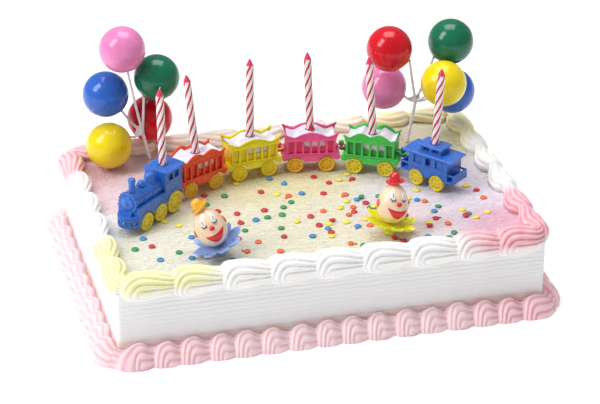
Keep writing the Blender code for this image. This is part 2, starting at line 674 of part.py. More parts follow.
def branch_end(hub, centre, meets):
    """Where a branch stops, just short of its balloon."""
    towards = (meets if meets else hub) - centre
    return centre + towards.normalized() * (BALLOON_RADIUS + GAP)


def build_balloon_pick(side, pick):
    hub = Vector(pick["hub"]) * MM
    foot = Vector((pick["foot"][0] * MM, pick["foot"][1] * MM, CAKE_HEIGHT + GAP))
    steps = [("UNION", rod(foot, hub, STEM_RADIUS, STEM_RADIUS, STEM_SIDES))]
    for colour, (centre, meets) in pick["balloons"].items():
        centre = Vector(centre) * MM
        meets = Vector(meets) * MM if meets else None
        end = branch_end(hub, centre, meets)
        steps.append(("UNION", rod(hub, end, BRANCH_RADIUS * 1.15, BRANCH_RADIUS, STEM_SIDES)))
        build_balloon(f"{side}_balloon_{colour}", f"balloon_{colour}", centre)
    web = ball(hub, (HUB_RADIUS, 0.5 * HUB_RADIUS, HUB_RADIUS), sides=6, rings=4)
    add_object(f"{side}_balloon_stem", combined(web, *steps), "white_plastic")


# Each clown pick: where it stands, its lean towards +X in degrees, its colours, and how far its
# hat is tipped over its crown.
CLOWNS = (
    {"name": "clown_1", "at": (-76.3, -77.2), "lean": -23.0, "turn": 4.0, "collar": "collar_blue",
     "hat": "hat_yellow", "hat_tip": -18.0},
    {"name": "clown_2", "at": (50.6, -77.2), "lean": 12.0, "turn": 4.0, "collar": "collar_yellow",
     "hat": "hat_red", "hat_tip": -12.0},
)


def clown_collar():
    """A rounded foot under a ruff of petals that curl up at their tips."""
    profile = [(r * MM, z * MM) for r, z in (
        (0.0, 0.0), (3.0, 0.3), (4.7, 2.4), (4.6, 5.0), (9.0, 6.0))]
    lower, upper = COLLAR_RADIUS - 1.2 * MM, COLLAR_RADIUS
    profile += [(lower, 9.8 * MM), (upper, 11.2 * MM), (11.0 * MM, COLLAR_HEIGHT), (0.0, COLLAR_HEIGHT)]
    petal_rings = {5: 1.0, 6: 1.0, 7: 0.25}

    def petals(index, angle):
        share = petal_rings.get(index, 0.0)
        swing = math.cos(COLLAR_PETALS * angle)
        return share * COLLAR_WAVE * swing, share * 0.9 * MM * swing

    return lathe(profile, 2 * COLLAR_PETALS, petals)


def clown_head():
    """An egg-shaped head with a round nose and two small ears, facing -Y."""
    egg = lathe([(r * MM, z * MM) for r, z in HEAD_PROFILE], 10)
    nose = ball((0, -11.85 * MM, 15.5 * MM), (2.2 * MM, 1.8 * MM, 1.8 * MM))
    ears = joined([ball((side * 11.5 * MM, 0.95 * MM, 14.1 * MM), (1.6 * MM, 2.1 * MM, 2.8 * MM))
                   for side in (-1, 1)])
    return combined(egg, ("UNION", nose), ("UNION", ears))


def build_clown(clown):
    foot = Vector((clown["at"][0] * MM, clown["at"][1] * MM, CAKE_HEIGHT + 3 * GAP))
    lean = Matrix.Rotation(math.radians(clown["lean"]), 4, "Y")
    turn = Matrix.Rotation(math.radians(clown["turn"]), 4, "Z")
    frame = Matrix.Translation(foot) @ lean @ turn
    name = clown["name"]
    add_object(f"{name}_collar", clown_collar(), clown["collar"], frame, sharp_degrees=60)
    nod = Matrix.Rotation(math.radians(HEAD_TILT), 4, "X")
    head = frame @ Matrix.Translation((0, 0, COLLAR_HEIGHT + 3 * GAP)) @ nod
    add_object(f"{name}_head", clown_head(), "skin", head, sharp_degrees=60)
    tip = Matrix.Rotation(math.radians(clown["hat_tip"]), 4, "Y")
    hat_frame = head @ Matrix.Translation((0, 0, HAT_SEAT)) @ tip
    hat = lathe([(r * MM, z * MM) for r, z in HAT_PROFILE], 10)
    add_object(f"{name}_hat", hat, clown["hat"], hat_frame, sharp_degrees=60)


def build_all():
    clear_scene()
    build_cake()
    build_borders()
    build_train()
    for side, pick in BALLOON_PICKS.items():
        build_balloon_pick(side, pick)
    for clown in CLOWNS:
        build_clown(clown)


build_all()
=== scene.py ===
"""Looks of the birthday cake with candles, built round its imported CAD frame.

Every piece is drawn in millimetres, in the cake's frame or in the frame of the toy it belongs to.
Its call to piece names the CAD node that it stands for, if any.
"""
import math
import random

import bmesh
import bpy
import numpy as np
from mathutils import Matrix, Vector, noise


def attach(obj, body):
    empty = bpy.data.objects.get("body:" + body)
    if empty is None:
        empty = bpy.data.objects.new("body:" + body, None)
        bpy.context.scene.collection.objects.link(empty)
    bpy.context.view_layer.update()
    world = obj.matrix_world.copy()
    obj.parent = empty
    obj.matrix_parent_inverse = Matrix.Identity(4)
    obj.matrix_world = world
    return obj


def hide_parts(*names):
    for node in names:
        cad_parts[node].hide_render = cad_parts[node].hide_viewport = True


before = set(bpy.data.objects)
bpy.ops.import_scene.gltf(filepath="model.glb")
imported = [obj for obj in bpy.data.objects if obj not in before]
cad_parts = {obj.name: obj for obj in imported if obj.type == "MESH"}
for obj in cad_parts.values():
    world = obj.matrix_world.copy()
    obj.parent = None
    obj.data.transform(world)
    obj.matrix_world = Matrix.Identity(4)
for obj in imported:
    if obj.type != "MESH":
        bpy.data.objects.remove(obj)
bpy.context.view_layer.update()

MM = 0.001
BODY = "root"
CAKE_LENGTH, CAKE_WIDTH, CAKE_HEIGHT = 330.0, 225.0, 60.0
GAP = 0.3
random.seed(7)


# ---------------------------------------------------------------- shapes

class Shape:
    """Points in millimetres and faces, each face with the number of its material."""

    def __init__(self):
        self.points = []
        self.faces = []
        self.numbers = []
        self.marks = []

    def add(self, part, number=0, matrix=None, marks=None):
        points, faces = part
        base = len(self.points)
        if matrix is not None:
            points = [matrix @ Vector(p) for p in points]
        self.points.extend(tuple(p) for p in points)
        self.faces.extend(tuple(base + i for i in face) for face in faces)
        self.numbers.extend([number] * len(faces))
        self.marks.extend(marks if marks is not None else [0.0] * len(points))
        return self


def grid_faces(rows, columns, wrap_rows=False, wrap_columns=False):
    faces = []
    for i in range(rows if wrap_rows else rows - 1):
        k = (i + 1) % rows
        for j in range(columns if wrap_columns else columns - 1):
            m = (j + 1) % columns
            faces.append((i * columns + j, i * columns + m, k * columns + m, k * columns + j))
    return faces


def loft(rings, closed=False):
    """A skin over rings of equally many points, capped unless it is closed on itself."""
    count = len(rings[0])
    points = [p for ring in rings for p in ring]
    faces = grid_faces(len(rings), count, wrap_rows=closed, wrap_columns=True)
    if not closed:
        faces.append(tuple(reversed(range(count))))
        faces.append(tuple(range(len(points) - count, len(points))))
    return points, faces


def lathe(profile, sides=32, wave=None):
    """A body turned about z from (radius, height) points that start and end on the axis."""
    points = [(0.0, 0.0, profile[0][1])]
    rings = profile[1:-1]
    for index, (radius, height) in enumerate(rings):
        for side in range(sides):
            angle = 2 * math.pi * side / sides
            extra, lift = wave(index / (len(rings) - 1), angle) if wave else (0.0, 0.0)
            points.append(((radius + extra) * math.cos(angle), (radius + extra) * math.sin(angle),
                           height + lift))
    points.append((0.0, 0.0, profile[-1][1]))
    last = len(points) - 1
    faces = [tuple(1 + i for i in face) for face in grid_faces(len(rings), sides, wrap_columns=True)]
    for i in range(sides):
        j = (i + 1) % sides
        faces.append((0, 1 + j, 1 + i))
        faces.append((last, last - sides + i, last - sides + j))
    return points, faces


def box(low, high):
    (x0, y0, z0), (x1, y1, z1) = low, high
    points = [(x, y, z) for z in (z0, z1) for x, y in ((x0, y0), (x1, y0), (x1, y1), (x0, y1))]
    return points, [(3, 2, 1, 0), (4, 5, 6, 7), (0, 1, 5, 4), (1, 2, 6, 5), (2, 3, 7, 6), (3, 0, 4, 7)]


def prism(outline, low, high, axis="y"):
    """An outline pushed from low to high: (x, z) along y, (y, z) along x or (x, y) along z."""
    place = {"y": lambda a, b, c: (a, c, b), "x": lambda a, b, c: (c, a, b), "z": lambda a, b,
             c: (a, b, c)}[axis]
    return loft([[place(a, b, level) for a, b in outline] for level in (low, high)])


def tube(path, radius, sides=10, closed=False):
    """A round tube along a path; radius is a number or one number for each point."""
    path = [Vector(p) for p in path]
    count = len(path)
    radii = [radius] * count if isinstance(radius, (int, float)) else radius
    rings = []
    side = None
    for i, point in enumerate(path):
        ahead = path[(i + 1) % count] if closed else path[min(i + 1, count - 1)]
        behind = path[i - 1] if closed or i > 0 else path[0]
        along = (ahead - behind).normalized()
        if side is None:
            side = along.orthogonal().normalized()
        side = (side - along * side.dot(along)).normalized()
        up = along.cross(side)
        rings.append([point + (side * math.cos(a) + up * math.sin(a)) * radii[i]
                      for a in (2 * math.pi * k / sides for k in range(sides))])
    return loft(rings, closed)


def ball(centre, radii, sides=24, rings=14):
    profile = [(math.sin(math.pi * i / rings), -math.cos(math.pi * i / rings)) for i in range(rings + 1)]
    points, faces = lathe(profile, sides)
    return [tuple(c + r * v for c, r, v in zip(centre, radii, p)) for p in points], faces


def ring_path(centre, radius, axis="z", steps=32):
    place = {"z": lambda a, b: (a, b, 0), "y": lambda a, b: (a, 0, b), "x": lambda a, b: (0, a, b)}[axis]
    return [Vector(centre) + Vector(place(radius * math.cos(t), radius * math.sin(t)))
            for t in (2 * math.pi * k / steps for k in range(steps))]


def moved(part, matrix):
    points, faces = part
    return [tuple(matrix @ Vector(p)) for p in points], faces


def turned(degrees, axis):
    return Matrix.Rotation(math.radians(degrees), 4, axis)


def shifted(x, y, z):
    return Matrix.Translation((x, y, z))


def arc(centre, radius, start, end, steps):
    return [(centre[0] + radius * math.cos(math.radians(start + (end - start) * i / steps)),
             centre[1] + radius * math.sin(math.radians(start + (end - start) * i / steps)))
            for i in range(steps + 1)]


def smooth_curve(points, steps=6):
    """A Catmull-Rom curve through the points."""
    points = [Vector(p) for p in points]
    ends = [2 * points[0] - points[1]] + points + [2 * points[-1] - points[-2]]
    curve = []
    for a, b, c, d in zip(ends, ends[1:], ends[2:], ends[3:]):
        for k in range(steps):
            t = k / steps
            curve.append(0.5 * (2 * b + (c - a) * t + (2 * a - 5 * b + 4 * c - d) * t * t
                                + (3 * b - 3 * c + d - a) * t ** 3))
    curve.append(points[-1])
    return [tuple(p) for p in curve]


def to_metres(matrix):
    """A frame in millimetres as an object's matrix in metres."""
    scaled = matrix.copy()
    scaled.translation = matrix.translation * MM
    return scaled


def piece(name, shape, looks, replaced=(), matrix=None, smooth=38, bevel=0.0):
    """A piece of the cake: its mesh, its materials, its body and the nodes it stands for."""
    mesh = bpy.data.meshes.new(name)
    mesh.from_pydata([(x * MM, y * MM, z * MM) for x, y, z in shape.points], [], shape.faces)
    for look in looks:
        mesh.materials.append(look)
    mesh.polygons.foreach_set("material_index", shape.numbers)
    if any(shape.marks):
        groove = mesh.attributes.new("groove", "FLOAT", "POINT")
        groove.data.foreach_set("value", shape.marks)
    tidy = bmesh.new()
    tidy.from_mesh(mesh)
    bmesh.ops.recalc_face_normals(tidy, faces=tidy.faces)
    tidy.to_mesh(mesh)
    tidy.free()
    mesh.shade_smooth()
    if smooth < 180:
        mesh.set_sharp_from_angle(angle=math.radians(smooth))
    item = bpy.data.objects.new(name, mesh)
    bpy.context.scene.collection.objects.link(item)
    if matrix is not None:
        item.matrix_world = to_metres(matrix)
    if bevel:
        rounding = item.modifiers.new("rounding", "BEVEL")
        rounding.width = bevel * MM
        rounding.segments = 2
        rounding.limit_method = "ANGLE"
        rounding.angle_limit = math.radians(40)
    bpy.context.view_layer.update()
    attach(item, BODY)
    if replaced:
        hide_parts(*replaced)
    return item


# ---------------------------------------------------------------- materials

class Graph:
    """A material's node tree with its Principled shader."""

    def __init__(self, name, **settings):
        self.material = bpy.data.materials.new(name)
        self.material.use_nodes = True
        self.tree = self.material.node_tree
        self.shader = self.tree.nodes["Principled BSDF"]
        for key, value in settings.items():
            self.shader.inputs[key.replace("_", " ")].default_value = value
        self.place = self.node("ShaderNodeTexCoord").outputs["Object"]

    def node(self, kind, settings=None, **inputs):
        made = self.tree.nodes.new(kind)
        for key, value in (settings or {}).items():
            setattr(made, key, value)
        for key, value in inputs.items():
            self.feed(made.inputs[key.replace("_", " ")], value)
        return made

    def feed(self, socket, value):
        if isinstance(value, bpy.types.NodeSocket):
            self.tree.links.new(value, socket)
        else:
            socket.default_value = value

    def noise(self, scale, detail=3.0, roughness=0.55, distortion=0.0, place=None):
        made = self.node("ShaderNodeTexNoise", Vector=place or self.place, Scale=scale, Detail=detail,
                         Roughness=roughness, Distortion=distortion)
        return made.outputs["Fac"]

    def maths(self, operation, a, b=0.0, clamp=False):
        made = self.node("ShaderNodeMath", {"operation": operation, "use_clamp": clamp})
        self.feed(made.inputs[0], a)
        self.feed(made.inputs[1], b)
        return made.outputs[0]

    def spread(self, value, low, high, to_low=0.0, to_high=1.0, smooth=False):
        made = self.node("ShaderNodeMapRange", {"interpolation_type": "SMOOTHSTEP" if smooth else "LINEAR"},
                         Value=value, From_Min=low, From_Max=high, To_Min=to_low, To_Max=to_high)
        return made.outputs["Result"]

    def mix(self, share, a, b, blend="MIX"):
        made = self.node("ShaderNodeMix", {"data_type": "RGBA", "blend_type": blend})
        self.feed(made.inputs[0], share)
        self.feed(made.inputs[6], colour(a) if isinstance(a, tuple) else a)
        self.feed(made.inputs[7], colour(b) if isinstance(b, tuple) else b)
        return made.outputs[2]

    def stretched(self, scale, place=None):
        made = self.node("ShaderNodeMapping", Vector=place or self.place, Scale=scale)
        return made.outputs["Vector"]

    def blob(self, centre, radii, soft=0.6, wander=0.25):
        """1 inside an uneven ellipse on the cake, in millimetres, falling softly to 0 outside it."""
        x, y = centre
        moved_place = self.node("ShaderNodeVectorMath", {"operation": "SUBTRACT"})
        self.feed(moved_place.inputs[0], self.place)
        moved_place.inputs[1].default_value = (x * MM, y * MM, 0)
        flat = self.node("ShaderNodeVectorMath", {"operation": "MULTIPLY"})
        self.feed(flat.inputs[0], moved_place.outputs[0])
        flat.inputs[1].default_value = (1 / (radii[0] * MM), 1 / (radii[1] * MM), 0)
        length = self.node("ShaderNodeVectorMath", {"operation": "LENGTH"})
        self.feed(length.inputs[0], flat.outputs[0])
        ragged = self.maths("MULTIPLY_ADD", self.noise(22.0, 4.0, 0.6), wander)
        ragged.node.inputs[2].default_value = -0.5 * wander
        reach = self.maths("ADD", length.outputs["Value"], ragged)
        return self.spread(reach, 1 + soft / 2, 1 - soft / 2, smooth=True)

    def bump(self, height, strength, distance, normal=None):
        made = self.node("ShaderNodeBump", Strength=strength, Distance=distance, Height=height)
        if normal is not None:
            self.feed(made.inputs["Normal"], normal)
        return made.outputs["Normal"]

    def finish(self, base, roughness=None, normal=None):
        self.feed(self.shader.inputs["Base Color"], base)
        if roughness is not None:
            self.feed(self.shader.inputs["Roughness"], roughness)
        if normal is not None:
            self.feed(self.shader.inputs["Normal"], normal)
        return self.material


def channel(value):
    value /= 255
    return value / 12.92 if value <= 0.04045 else ((value + 0.055) / 1.055) ** 2.4


def colour(rgb):
    """A colour written as red, green and blue out of 255."""
    return (channel(rgb[0]), channel(rgb[1]), channel(rgb[2]), 1.0)


def tinted(rgb, factor):
    return tuple(min(255, value * factor) for value in rgb)


def plastic(name, rgb, roughness=0.28, clear=0.2, depth=0.3):
    """Moulded plastic: faint cloudiness and fine flow marks."""
    graph = Graph(name, Coat_Weight=clear, Coat_Roughness=0.12, Subsurface_Weight=depth,
                  Subsurface_Radius=(0.0012, 0.0012, 0.0012), Subsurface_Scale=1.0, IOR=1.48)
    cloud = graph.noise(140.0, 3.0)
    base = graph.mix(graph.spread(cloud, 0.3, 0.7), tinted(rgb, 0.95), tinted(rgb, 1.04))
    flow = graph.noise(900.0, 2.0, place=graph.stretched((1.0, 1.0, 0.25)))
    rough = graph.spread(flow, 0.25, 0.75, roughness - 0.06, roughness + 0.1)
    normal = graph.bump(flow, 0.03, 0.0002, graph.bump(cloud, 0.05, 0.0006))
    return graph.finish(base, rough, normal)


def cake_icing():
    """Smooth whipped icing: combed walls, a brushed top, and airbrushed colour on the top. The top's grain
    has painted shade in its pits and painted light on its crests.
    """
    graph = Graph("icing", Subsurface_Weight=0.3, Subsurface_Radius=(0.004, 0.003, 0.0022),
                  Subsurface_Scale=0.6,
                  Coat_Weight=0.05, Coat_Roughness=0.4, IOR=1.45)
    split = graph.node("ShaderNodeSeparateXYZ", Vector=graph.place)
    height = split.outputs["Z"]
    on_top = graph.spread(height, 0.0560, 0.0585, smooth=True)
    base = graph.mix(1.0, (250, 248, 232), (250, 248, 232))
    for rgb, share, centre, radii, soft in TOP_COLOURS:
        mask = graph.maths("MULTIPLY", graph.blob(centre, radii, soft), share)
        base = graph.mix(mask, base, rgb)
    fine = graph.noise(560.0, 3.0, 0.7)
    brushed = graph.noise(260.0, 4.0, 0.68, 0.6, graph.stretched((0.6, 1.2, 1.0)))
    # painted shade: the low places of the brushed relief are darkened
    pits = graph.spread(brushed, 0.34, 0.46, 1.0, 0.0, smooth=True)
    pit_shaded_top = graph.mix(graph.maths("MULTIPLY", pits, 0.75), base,
                      graph.mix(0.6, base, (230, 200, 192), "MULTIPLY"))
    # painted light: the high grains of the fine relief are lightened
    top = graph.mix(graph.maths("MULTIPLY", graph.spread(fine, 0.5, 0.72), 0.55), pit_shaded_top, (255, 254, 248))
    low_band = graph.maths("MULTIPLY", graph.spread(height, 0.0182, 0.0160, smooth=True),
                           graph.spread(graph.noise(70.0, 3.0), 0.35, 0.65))
    wall = graph.mix(graph.maths("MULTIPLY", low_band, 0.5), (242, 243, 243), (255, 208, 188))
    flecks = graph.spread(graph.noise(210.0, 3.0, 0.6, 0.0, graph.stretched((0.6, 0.6, 1.8))), 0.66, 0.72)
    wall = graph.mix(graph.maths("MULTIPLY",
                                 graph.maths("MULTIPLY", flecks, graph.blob((105, -113), (34, 30))), 0.55),
                     wall, (246, 190, 200))
    combed = graph.node("ShaderNodeTexWave", {"wave_type": "BANDS", "bands_direction": "Z"},
                        Vector=graph.place,
                        Scale=88.0, Distortion=2.2, Detail=2.0, Detail_Scale=1.6, Detail_Roughness=0.5)
    comb_height = graph.maths("MULTIPLY", combed.outputs["Fac"], graph.maths("SUBTRACT", 1.0, on_top))
    rough_height = graph.maths("MULTIPLY", graph.maths("ADD", brushed, graph.maths("MULTIPLY", fine, 0.6)),
                               on_top)
    normal = graph.bump(comb_height, 0.5, 0.0005)
    normal = graph.bump(rough_height, 1.0, 0.0034, normal)
    rough = graph.spread(fine, 0.2, 0.8, 0.5, 0.75)
    return graph.finish(graph.mix(on_top, wall, top), rough, normal)


# Airbrushed colours of the top: colour, strength, centre and radii in millimetres, softness
TOP_COLOURS = (
    ((252, 246, 216), 0.90, (0, 0), (135, 100), 0.7),
    ((246, 238, 182), 0.75, (-10, 30), (75, 36), 0.8),
    ((236, 228, 168), 0.60, (-40, 40), (80, 18), 0.9),
    ((255, 224, 234), 0.95, (-135, 62), (62, 68), 0.6),
    ((252, 190, 206), 0.60, (-160, 85), (36, 40), 0.8),
    ((255, 255, 255), 0.90, (-148, -12), (26, 20), 0.6),
    ((252, 252, 232), 0.85, (-112, -70), (66, 34), 0.8),
    ((250, 238, 255), 1.0, (118, -32), (70, 74), 0.7),
    ((250, 178, 204), 0.75, (150, -84), (40, 30), 0.8),
    ((254, 228, 220), 0.60, (66, -62), (40, 34), 0.9),
    ((255, 248, 194), 0.85, (132, 78), (52, 34), 0.7),
    ((255, 240, 232), 0.60, (20, 92), (120, 24), 0.8),
)

# Airbrushed colours of the top border: colour, strength, centre and radii, softness
BORDER_COLOURS = (
    ((240, 236, 130), 1.0, (-150, -96), (62, 52), 0.5),
    ((244, 112, 142), 1.0, (150, -84), (62, 44), 0.5),
    ((246, 150, 168), 1.0, (-160, 96), (44, 34), 0.5),
    ((248, 236, 140), 1.0, (142, 92), (70, 40), 0.6),
    ((250, 216, 196), 0.7, (0, 112), (110, 22), 0.8),
)


# Colours of the bottom border: pink in the grooves, deeper at the front right corner
BASE_COLOURS = (
    ((240, 156, 172), 0.55, (0, 0), (400, 400), 0.5),
    ((240, 120, 148), 0.75, (175, -105), (70, 45), 0.7),
    ((244, 150, 170), 0.5, (-150, -125), (60, 30), 0.8),
)


def piped_icing(name, white, sprays, strength, ridge_white, spray_low):
    """Piped icing: grooves a shade darker than the ridges as painted shade, and sprayed colour that gathers
    in the grooves.
    """
    graph = Graph(name, Subsurface_Weight=0.35, Subsurface_Radius=(0.004, 0.003, 0.0024),
                  Subsurface_Scale=0.6,
                  Coat_Weight=0.08, Coat_Roughness=0.35, IOR=1.45)
    groove = graph.node("ShaderNodeAttribute", {"attribute_name": "groove"}).outputs["Fac"]
    patchy = graph.spread(graph.noise(120.0, 3.0, 0.6), 0.3, 0.7, 0.75, 1.1)
    split = graph.node("ShaderNodeSeparateXYZ", Vector=graph.place)
    uneven = graph.maths("ADD", split.outputs["Z"],
                         graph.spread(graph.noise(90.0), 0.3, 0.7, -0.003, 0.003))
    from_above = graph.spread(uneven, spray_low, spray_low + 0.009, 0.15, 1.0, smooth=True)
    # painted shade: the deeper in a groove, the a little darker the white
    base = graph.mix(groove, white, tinted(white, 0.975))
    for rgb, share, centre, radii, soft in sprays:
        mask = graph.maths("MULTIPLY", graph.blob(centre, radii, soft, 0.35), share * strength)
        gathered = graph.maths("ADD", graph.maths("MULTIPLY", groove, 1 - ridge_white), ridge_white)
        gathered = graph.maths("MULTIPLY", gathered, from_above)
        mask = graph.maths("MULTIPLY", graph.maths("MULTIPLY", mask, gathered), patchy, clamp=True)
        base = graph.mix(mask, base, rgb)
    fine = graph.noise(700.0, 3.0, 0.6)
    rough = graph.spread(fine, 0.2, 0.8, 0.42, 0.66)
    normal = graph.bump(fine, 0.12, 0.0003, graph.bump(graph.noise(160.0, 3.0), 0.2, 0.0008))
    return graph.finish(base, rough, normal)


def candle_wax():
    """White wax with red stripes that climb round the candle, under a red tip."""
    graph = Graph("candle", Subsurface_Weight=0.4, Subsurface_Radius=(0.003, 0.002, 0.002),
                  Subsurface_Scale=0.6,
                  Coat_Weight=0.15, Coat_Roughness=0.25)
    split = graph.node("ShaderNodeSeparateXYZ", Vector=graph.place)
    angle = graph.maths("ARCTAN2", split.outputs["Y"], split.outputs["X"])
    turns = graph.maths("MULTIPLY", angle, CANDLE_STARTS / (2 * math.pi))
    climb = graph.maths("MULTIPLY", split.outputs["Z"], CANDLE_STARTS / (CANDLE_LEAD * MM))
    phase = graph.maths("FRACT", graph.maths("ADD", graph.maths("SUBTRACT", turns, climb), 100.0))
    wobble = graph.spread(graph.noise(500.0, 2.0), 0.3, 0.7, -0.03, 0.03)
    off_middle = graph.maths("ABSOLUTE", graph.maths("ADD", graph.maths("SUBTRACT", phase, 0.5), wobble))
    stripe = graph.spread(off_middle, 0.20, 0.16, smooth=True)
    wax = graph.mix(graph.spread(graph.noise(260.0, 3.0), 0.3, 0.7), (255, 248, 252), (248, 238, 245))
    red = graph.mix(graph.spread(graph.noise(400.0, 2.0), 0.3, 0.7), (186, 2, 30), (206, 14, 46))
    base = graph.mix(stripe, wax, red)
    tip = graph.spread(split.outputs["Z"], 0.0598, 0.0606, smooth=True)
    base = graph.mix(tip, base, (226, 62, 104))
    rough = graph.spread(graph.noise(600.0, 3.0), 0.2, 0.8, 0.32, 0.5)
    normal = graph.bump(graph.noise(700.0, 3.0), 0.15, 0.0003)
    return graph.finish(base, rough, normal)


def balloon_plastic(name, rgb):
    """Hollow glossy plastic with a soft clear surface."""
    graph = Graph(name, Coat_Weight=0.25, Coat_Roughness=0.08, Subsurface_Weight=0.15,
                  Subsurface_Radius=(0.004, 0.004, 0.004), Subsurface_Scale=0.6, IOR=1.5,
                  Specular_IOR_Level=0.3)
    cloud = graph.noise(60.0, 3.0)
    base = graph.mix(graph.spread(cloud, 0.3, 0.7), tinted(rgb, 0.94), tinted(rgb, 1.05))
    rough = graph.spread(graph.noise(500.0, 3.0), 0.2, 0.8, 0.14, 0.26)
    normal = graph.bump(graph.noise(90.0, 2.0), 0.08, 0.0012)
    return graph.finish(base, rough, normal)


CANDLE_STARTS, CANDLE_LEAD = 4, 41.0

# Toy colours, each with a darker copy of the same plastic that is painted shade: insides seen through
# openings, panels behind bars and in the ends, and candle wells.
BLUE, PAINTED_SHADE_BLUE = (50, 112, 206), (36, 58, 150)
ORANGE, PAINTED_SHADE_ORANGE = (250, 78, 14), (226, 44, 14)
YELLOW, PAINTED_SHADE_YELLOW = (255, 232, 10), (255, 218, 20)
PINK, PAINTED_SHADE_PINK = (244, 88, 154), (236, 36, 104)
GREEN, PAINTED_SHADE_GREEN = (66, 200, 80), (34, 150, 58)

LOOKS = {
    "blue": plastic("toy_blue", BLUE),
    # each toy colour's second look is its painted-shade copy
    "blue_dark": plastic("toy_blue_painted_shade", PAINTED_SHADE_BLUE, 0.45),
    "orange": plastic("toy_orange", ORANGE),
    "orange_dark": plastic("toy_orange_painted_shade", PAINTED_SHADE_ORANGE, 0.4),
    "yellow": plastic("toy_yellow", YELLOW),
    "yellow_dark": plastic("toy_yellow_painted_shade", PAINTED_SHADE_YELLOW, 0.4),
    "pink": plastic("toy_pink", PINK),
    "pink_dark": plastic("toy_pink_painted_shade", PAINTED_SHADE_PINK, 0.4),
    "green": plastic("toy_green", GREEN),
    "green_dark": plastic("toy_green_painted_shade", PAINTED_SHADE_GREEN, 0.4),
    "white": plastic("toy_white", (236, 232, 246), 0.32),
    "shadow": plastic("socket_shade", (150, 144, 172), 0.6),
    "stem": plastic("stem_white", (240, 238, 246), 0.35, depth=0.4),
    "icing": cake_icing(),
    "top_piping": piped_icing("top_piping", (252, 251, 249), BORDER_COLOURS, 0.95, 0.55, 0.054),
    "base_piping": piped_icing("base_piping", (252, 226, 230), BASE_COLOURS, 0.9, 0.1, -0.02),
    "candle": candle_wax(),
    "wick": plastic("wick", (238, 210, 214), 0.8, 0.0),
    "drip": plastic("red_wax", (206, 30, 56), 0.35, 0.3),
    "skin": plastic("clown_skin", (255, 220, 190), 0.22, 0.4, 0.4),
    "ear": plastic("clown_ear", (240, 104, 60), 0.3),
    "paint_red": plastic("paint_red", (226, 26, 22), 0.25, 0.4),
    "paint_white": plastic("paint_white", (250, 240, 246), 0.3, 0.3),
    "paint_black": plastic("paint_black", (44, 30, 40), 0.4),
    "paint_crimson": plastic("paint_crimson", (200, 60, 84), 0.35),
    "hat_yellow": plastic("hat_yellow", (248, 182, 40), 0.22, 0.5),
    "hat_red": plastic("hat_red", (222, 36, 46), 0.22, 0.5),
    "collar_blue": plastic("collar_blue", (150, 176, 232), 0.3, 0.3, 0.4),
    "collar_yellow": plastic("collar_yellow", (238, 236, 44), 0.3, 0.3, 0.4),
    # Wheel colours, each with a darker copy that is painted shade in the wheels' oval hollows
    "wheel_gold": plastic("wheel_gold", (238, 184, 34), 0.35),
    "wheel_gold_dark": plastic("wheel_gold_painted_shade", (214, 150, 24), 0.5),
    "wheel_yellow": plastic("wheel_yellow", (255, 224, 20), 0.35),
    "wheel_yellow_dark": plastic("wheel_yellow_painted_shade", (240, 200, 24), 0.5),
    "wheel_olive": plastic("wheel_olive", (226, 206, 38), 0.35),
    "wheel_olive_dark": plastic("wheel_olive_painted_shade", (188, 166, 30), 0.5),
    "balloon_pink": balloon_plastic("balloon_pink", (232, 136, 190)),
    "balloon_green": balloon_plastic("balloon_green", (14, 112, 80)),
    "balloon_blue": balloon_plastic("balloon_blue", (46, 102, 196)),
    "balloon_red": balloon_plastic("balloon_red", (214, 10, 34)),
    "balloon_yellow": balloon_plastic("balloon_yellow", (246, 218, 24)),
    "quin_red": plastic("quin_red", (206, 40, 52), 0.5),
    "quin_orange": plastic("quin_orange", (236, 110, 60), 0.5),
    "quin_yellow": plastic("quin_yellow", (244, 226, 90), 0.5),
    "quin_green": plastic("quin_green", (52, 150, 96), 0.5),
    "quin_blue": plastic("quin_blue", (62, 140, 200), 0.5),
}


# ---------------------------------------------------------------- cake and borders

